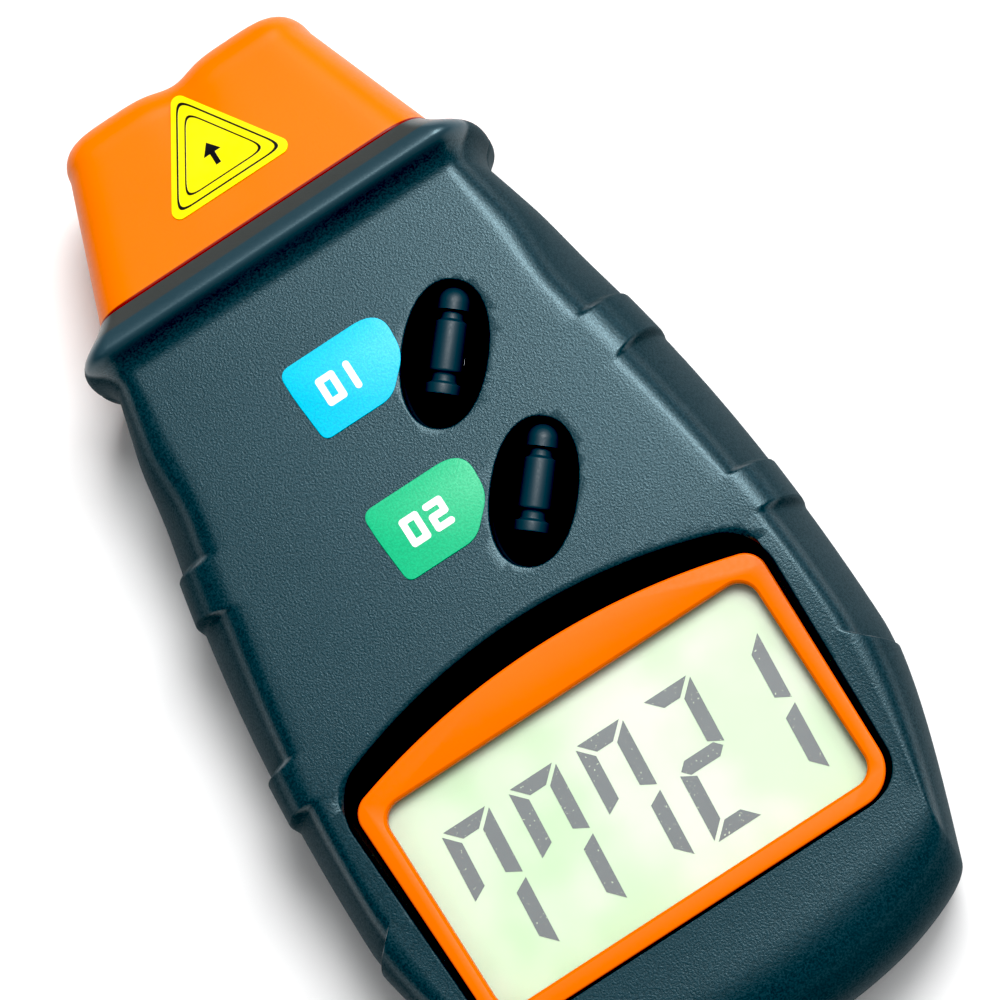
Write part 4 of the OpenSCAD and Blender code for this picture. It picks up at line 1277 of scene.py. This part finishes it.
LOOK_AT = np.array([5.77, 1.9, 20.0])
FLOOR_HALF = 30000
WORLD_STRENGTH = 0.30
BLACK_LEVEL = 0.028
LAMPS = (("overhead", (0.19, 0.16, 0.58), (0.24, 0.24), 3.5, (1.0, 1.0, 1.0)),
         ("fill", (-0.35, -0.10, 0.60), (0.30, 0.30), 0.12, (0.93, 0.97, 1.0)),
         ("rim", (0.45, 0.10, 0.12), (0.20, 0.10), 0.06, (0.92, 0.90, 1.0)))


def camera_axes(view):
    """Unit vectors out of the back of the camera, to its right and upwards."""
    back = np.array([math.sin(view.turn) * math.cos(view.tilt), -math.sin(view.tilt),
                     math.cos(view.turn) * math.cos(view.tilt)])
    right = np.cross([0, 1.0, 0], back)
    right /= np.linalg.norm(right)
    up = np.cross(back, right)
    c, s = math.cos(view.roll), math.sin(view.roll)
    return back, c * right - s * up, s * right + c * up


def add_camera(context):
    """Sets the camera up so that it looks at LOOK_AT."""
    view = context.scene.tacho_view
    back, right, up = camera_axes(view)
    data = bpy.data.cameras.new("camera")
    data.lens = view.lens
    data.sensor_width = SENSOR_W
    data.clip_start = 0.01
    camera = bpy.data.objects.new("camera", data)
    place = Matrix.Identity(4)
    for i, axis in enumerate((right, up, back)):
        place.col[i][:3] = axis
    place.col[3][:3] = (LOOK_AT + [0, middle_y(), 0]) * MM + back * view.distance
    camera.matrix_world = place
    context.scene.collection.objects.link(camera)
    context.scene.camera = camera


def add_sun(context, towards, strength, spread):
    """A soft distant lamp that lights the whole floor evenly."""
    data = bpy.data.lights.new("sky", "SUN")
    data.energy = strength
    data.angle = math.radians(spread)
    hang_lamp(context, data, -Vector(towards))


def hang_lamp(context, data, direction):
    """Adds a lamp that shines in this direction."""
    lamp = bpy.data.objects.new(data.name, data)
    lamp.rotation_euler = direction.to_track_quat("-Z", "Y").to_euler()
    context.scene.collection.objects.link(lamp)
    return lamp


def add_area(context, name, place, size, power, tint):
    """A rectangular lamp at a place in metres that faces the middle of the body."""
    data = bpy.data.lights.new(name, "AREA")
    data.shape = "RECTANGLE"
    data.size, data.size_y = size
    data.energy = power
    data.color = tint
    hang_lamp(context, data, Vector((0, 0, 0.02)) - Vector(place)).location = place


def add_floor():
    """A plain pale floor."""
    w = FLOOR_HALF
    floor = make_object("floor", [[-w, -w, 0], [w, -w, 0], [w, w, 0], [-w, w, 0]], [[0, 1, 2, 3]])
    f = Finish("floor", Roughness=0.9)
    f.set("Base Color", (0.93, 0.93, 0.93))
    floor.data.materials.append(f.material)


# Operators


BLACK = (0.012, 0.012, 0.013)


def settings(context):
    """The body's outline and the colours, as the sidebar has them."""
    return Body(context.scene.tacho_body), context.scene.tacho_colours


def shell_finish(body, colours):
    """The one grained plastic of both shells and the door."""
    name = "grained plastic"
    return bpy.data.materials.get(name) or grained_shell(name, colours.shell, body)


class TACHO_OT_front_shell(bpy.types.Operator):
    """Moulds the front shell: face, shoulders with finger scallops, collar, display pocket and wells."""
    bl_idname = "tacho.front_shell"
    bl_label = "Front Shell"

    def execute(self, context):
        body, colours = settings(context)
        material = shell_finish(body, colours)
        finish_piece(front_shell_solid(body), "front_moulding", "case", material, ["front_shell"])
        return {"FINISHED"}


class TACHO_OT_rear_shell(bpy.types.Operator):
    """Moulds the rear shell with its battery bay, and the door that slides off it."""
    bl_idname = "tacho.rear_shell"
    bl_label = "Rear Shell and Door"

    def execute(self, context):
        body, colours = settings(context)
        material = shell_finish(body, colours)
        finish_piece(rear_shell_solid(body), "rear_moulding", "case", material, ["rear_shell"])
        finish_piece(door_solid(body), "sliding_door", "door", material, ["battery_door"])
        return {"FINISHED"}


class TACHO_OT_nose(bpy.types.Operator):
    """Moulds the orange nose with its two barrel openings."""
    bl_idname = "tacho.nose"
    bl_label = "Nose"

    def execute(self, context):
        body, colours = settings(context)
        material = nose_plastic("nose plastic", colours.nose, body)
        finish_piece(nose_solid(body), "nose_hood", "case", material, ["nose_cap"])
        return {"FINISHED"}


class TACHO_OT_display(bpy.types.Operator):
    """Makes the orange display frame and finishes the window, the panel and its segments."""
    bl_idname = "tacho.display"
    bl_label = "Display"

    def execute(self, context):
        colours = context.scene.tacho_colours
        material = satin_plastic("frame plastic", colours.display_frame, 0.42, depth=0.003, gloss=0.22)
        bezel = display_frame_solid()
        finish_piece(bezel, "display_bezel", "case", material, ["display_frame"])
        paint_node("display_window", clear_sheet("window sheet", (0.95, 0.98, 0.97), 0.08))
        paint_node("display_panel", reflector_sheet("reflector", colours.reflector))
        paint_node("display_digits", segment_ink("segments", colours.ink, tuple(colours.reflector)))
        return {"FINISHED"}


class TACHO_OT_buttons(bpy.types.Operator):
    """Turns the two button capsules and finishes their plungers."""
    bl_idname = "tacho.buttons"
    bl_label = "Buttons"

    def execute(self, context):
        colours = context.scene.tacho_colours
        base = colours.button
        material = satin_plastic("button plastic", base, 0.46, depth=0.006, size=0.3, gloss=0.35)
        for name, at in BUTTONS.items():
            finish_piece(button_solid(at), f"{name}_capsule", f"{name}_key", material,
                         [f"{name}_button"])
        return {"FINISHED"}


class TACHO_OT_labels(bpy.types.Operator):
    """Lays the two tags with their plain numbers on the face, and the pointer sticker on the nose."""
    bl_idname = "tacho.labels"
    bl_label = "Labels"

    def execute(self, context):
        body, colours = settings(context)
        labels = context.scene.tacho_labels
        ink = printed_film("white print", colours.figures)
        height, width = labels.figure_height / MM, labels.stroke_width / MM
        for name, dye, at, number, tint in (
                ("upper", "blue", UPPER_TAG_AT, labels.upper_number, colours.upper_tag),
                ("lower", "green", LOWER_TAG_AT, labels.lower_number, colours.lower_tag)):
            film = printed_film(f"{name} print", tint)
            finish_piece(tag_solid(body, at), f"{name}_tag", "case", film, [f"{dye}_tag"])
            figures = number_solid(body, number, at, height, width)
            finish_piece(figures, f"{name}_number", "case", ink)
        corners = [[x, y + body.nose_y] for x, y in STICKER_CORNERS]
        lines = tuple(colours.print_line)
        film = pointer_print("yellow print", colours.sticker, lines, corners, STICKER_R)
        paint_node("pointer_sticker", film)
        return {"FINISHED"}


class TACHO_OT_optics(bpy.types.Operator):
    """Finishes the laser, the receiver and what holds them."""
    bl_idname = "tacho.optics"
    bl_label = "Optics"

    def execute(self, context):
        black = satin_plastic("black moulding", BLACK, 0.5)
        for node in ("optics_carrier", "receiver_tube", "photodiode"):
            paint_node(node, black)
        paint_node("laser_barrel", turned_metal("turned brass", (0.72, 0.50, 0.20), 0.28))
        paint_node("laser_window", clear_sheet("red window", (0.35, 0.02, 0.02), 0.6))
        paint_node("receiver_lens", clear_sheet("lens", (0.75, 0.85, 0.95), 0.35))
        return {"FINISHED"}


class TACHO_OT_electronics(bpy.types.Operator):
    """Finishes the board and what is soldered or clipped to it."""
    bl_idname = "tacho.electronics"
    bl_label = "Electronics"

    def execute(self, context):
        steel = turned_metal("steel", (0.60, 0.60, 0.62), 0.3)
        for node in ("crystal", "mem_plunger", "test_plunger", "case_screws", "board_screws"):
            paint_node(node, steel)
        chip = satin_plastic("chip", (0.02, 0.02, 0.022), 0.6)
        for node in ("main_chip", "mem_switch", "test_switch"):
            paint_node(node, chip)
        paint_node("circuit_board", board_lacquer("board lacquer", (0.01, 0.13, 0.05)))
        paint_node("capacitors", satin_plastic("capacitor sleeve", (0.03, 0.05, 0.2), 0.3))
        paint_node("display_carrier", satin_plastic("carrier", (0.7, 0.7, 0.67), 0.5))
        paint_node("display_ribbon", satin_plastic("ribbon film", (0.45, 0.2, 0.04), 0.3))
        return {"FINISHED"}


class TACHO_OT_power(bpy.types.Operator):
    """Finishes the battery, its snap and all the leads."""
    bl_idname = "tacho.power"
    bl_label = "Battery"

    def execute(self, context):
        paint_node("battery", battery_sleeve("battery sleeve", (0.04, 0.045, 0.055), (0.55, 0.28, 0.08)))
        paint_node("battery_snap", satin_plastic("snap", BLACK, 0.5))
        lead = satin_plastic("lead insulation", (0.35, 0.01, 0.01), 0.4)
        for node in ("battery_leads", "optics_leads"):
            paint_node(node, lead)
        return {"FINISHED"}


class TACHO_OT_stage(bpy.types.Operator):
    """Sets the camera, the lamps and a plain pale floor."""
    bl_idname = "tacho.stage"
    bl_label = "Stage"

    def execute(self, context):
        add_camera(context)
        add_floor()
        world = bpy.data.worlds.new("studio")
        world.use_nodes = True
        sockets = world.node_tree.nodes["Background"].inputs
        sockets["Color"].default_value = (1.0, 1.0, 1.0, 1.0)
        sockets["Strength"].default_value = WORLD_STRENGTH
        context.scene.world = world
        add_sun(context, (0.50, 0.22, 0.84), 1.25, 40)
        for lamp in LAMPS:
            add_area(context, *lamp)
        look = context.scene.view_settings
        look.view_transform = "Standard"
        look.use_curve_mapping = True
        look.curve_mapping.black_level = (BLACK_LEVEL, BLACK_LEVEL, BLACK_LEVEL)
        look.curve_mapping.update()
        return {"FINISHED"}


PIECES = (TACHO_OT_front_shell, TACHO_OT_rear_shell, TACHO_OT_nose, TACHO_OT_display, TACHO_OT_buttons,
          TACHO_OT_labels, TACHO_OT_optics, TACHO_OT_electronics, TACHO_OT_power, TACHO_OT_stage)
GROUPS = {"tacho_body": TachoBody, "tacho_labels": TachoLabels, "tacho_colours": TachoColours,
          "tacho_view": TachoView}


class TACHO_PT_sidebar(bpy.types.Panel):
    """Lists the pieces and their sizes in the 3D view's sidebar."""
    bl_idname = "TACHO_PT_sidebar"
    bl_label = "Tachometer"
    bl_space_type = "VIEW_3D"
    bl_region_type = "UI"
    bl_category = "Tachometer"

    def draw(self, context):
        for operator in PIECES:
            self.layout.operator(operator.bl_idname)
        for name, group in GROUPS.items():
            box = self.layout.box()
            for key in group.__annotations__:
                box.prop(getattr(context.scene, name), key)


def register():
    for group in GROUPS.values():
        bpy.utils.register_class(group)
    for name, group in GROUPS.items():
        setattr(bpy.types.Scene, name, PointerProperty(type=group))
    for operator in PIECES:
        bpy.utils.register_class(operator)
    bpy.utils.register_class(TACHO_PT_sidebar)


def unregister():
    bpy.utils.unregister_class(TACHO_PT_sidebar)
    for operator in reversed(PIECES):
        bpy.utils.unregister_class(operator)
    for name, group in GROUPS.items():
        delattr(bpy.types.Scene, name)
        bpy.utils.unregister_class(group)


def main():
    register()
    for operator in PIECES:
        family, name = operator.bl_idname.split(".")
        getattr(getattr(bpy.ops, family), name)()


if __name__ == "__main__":
    main()
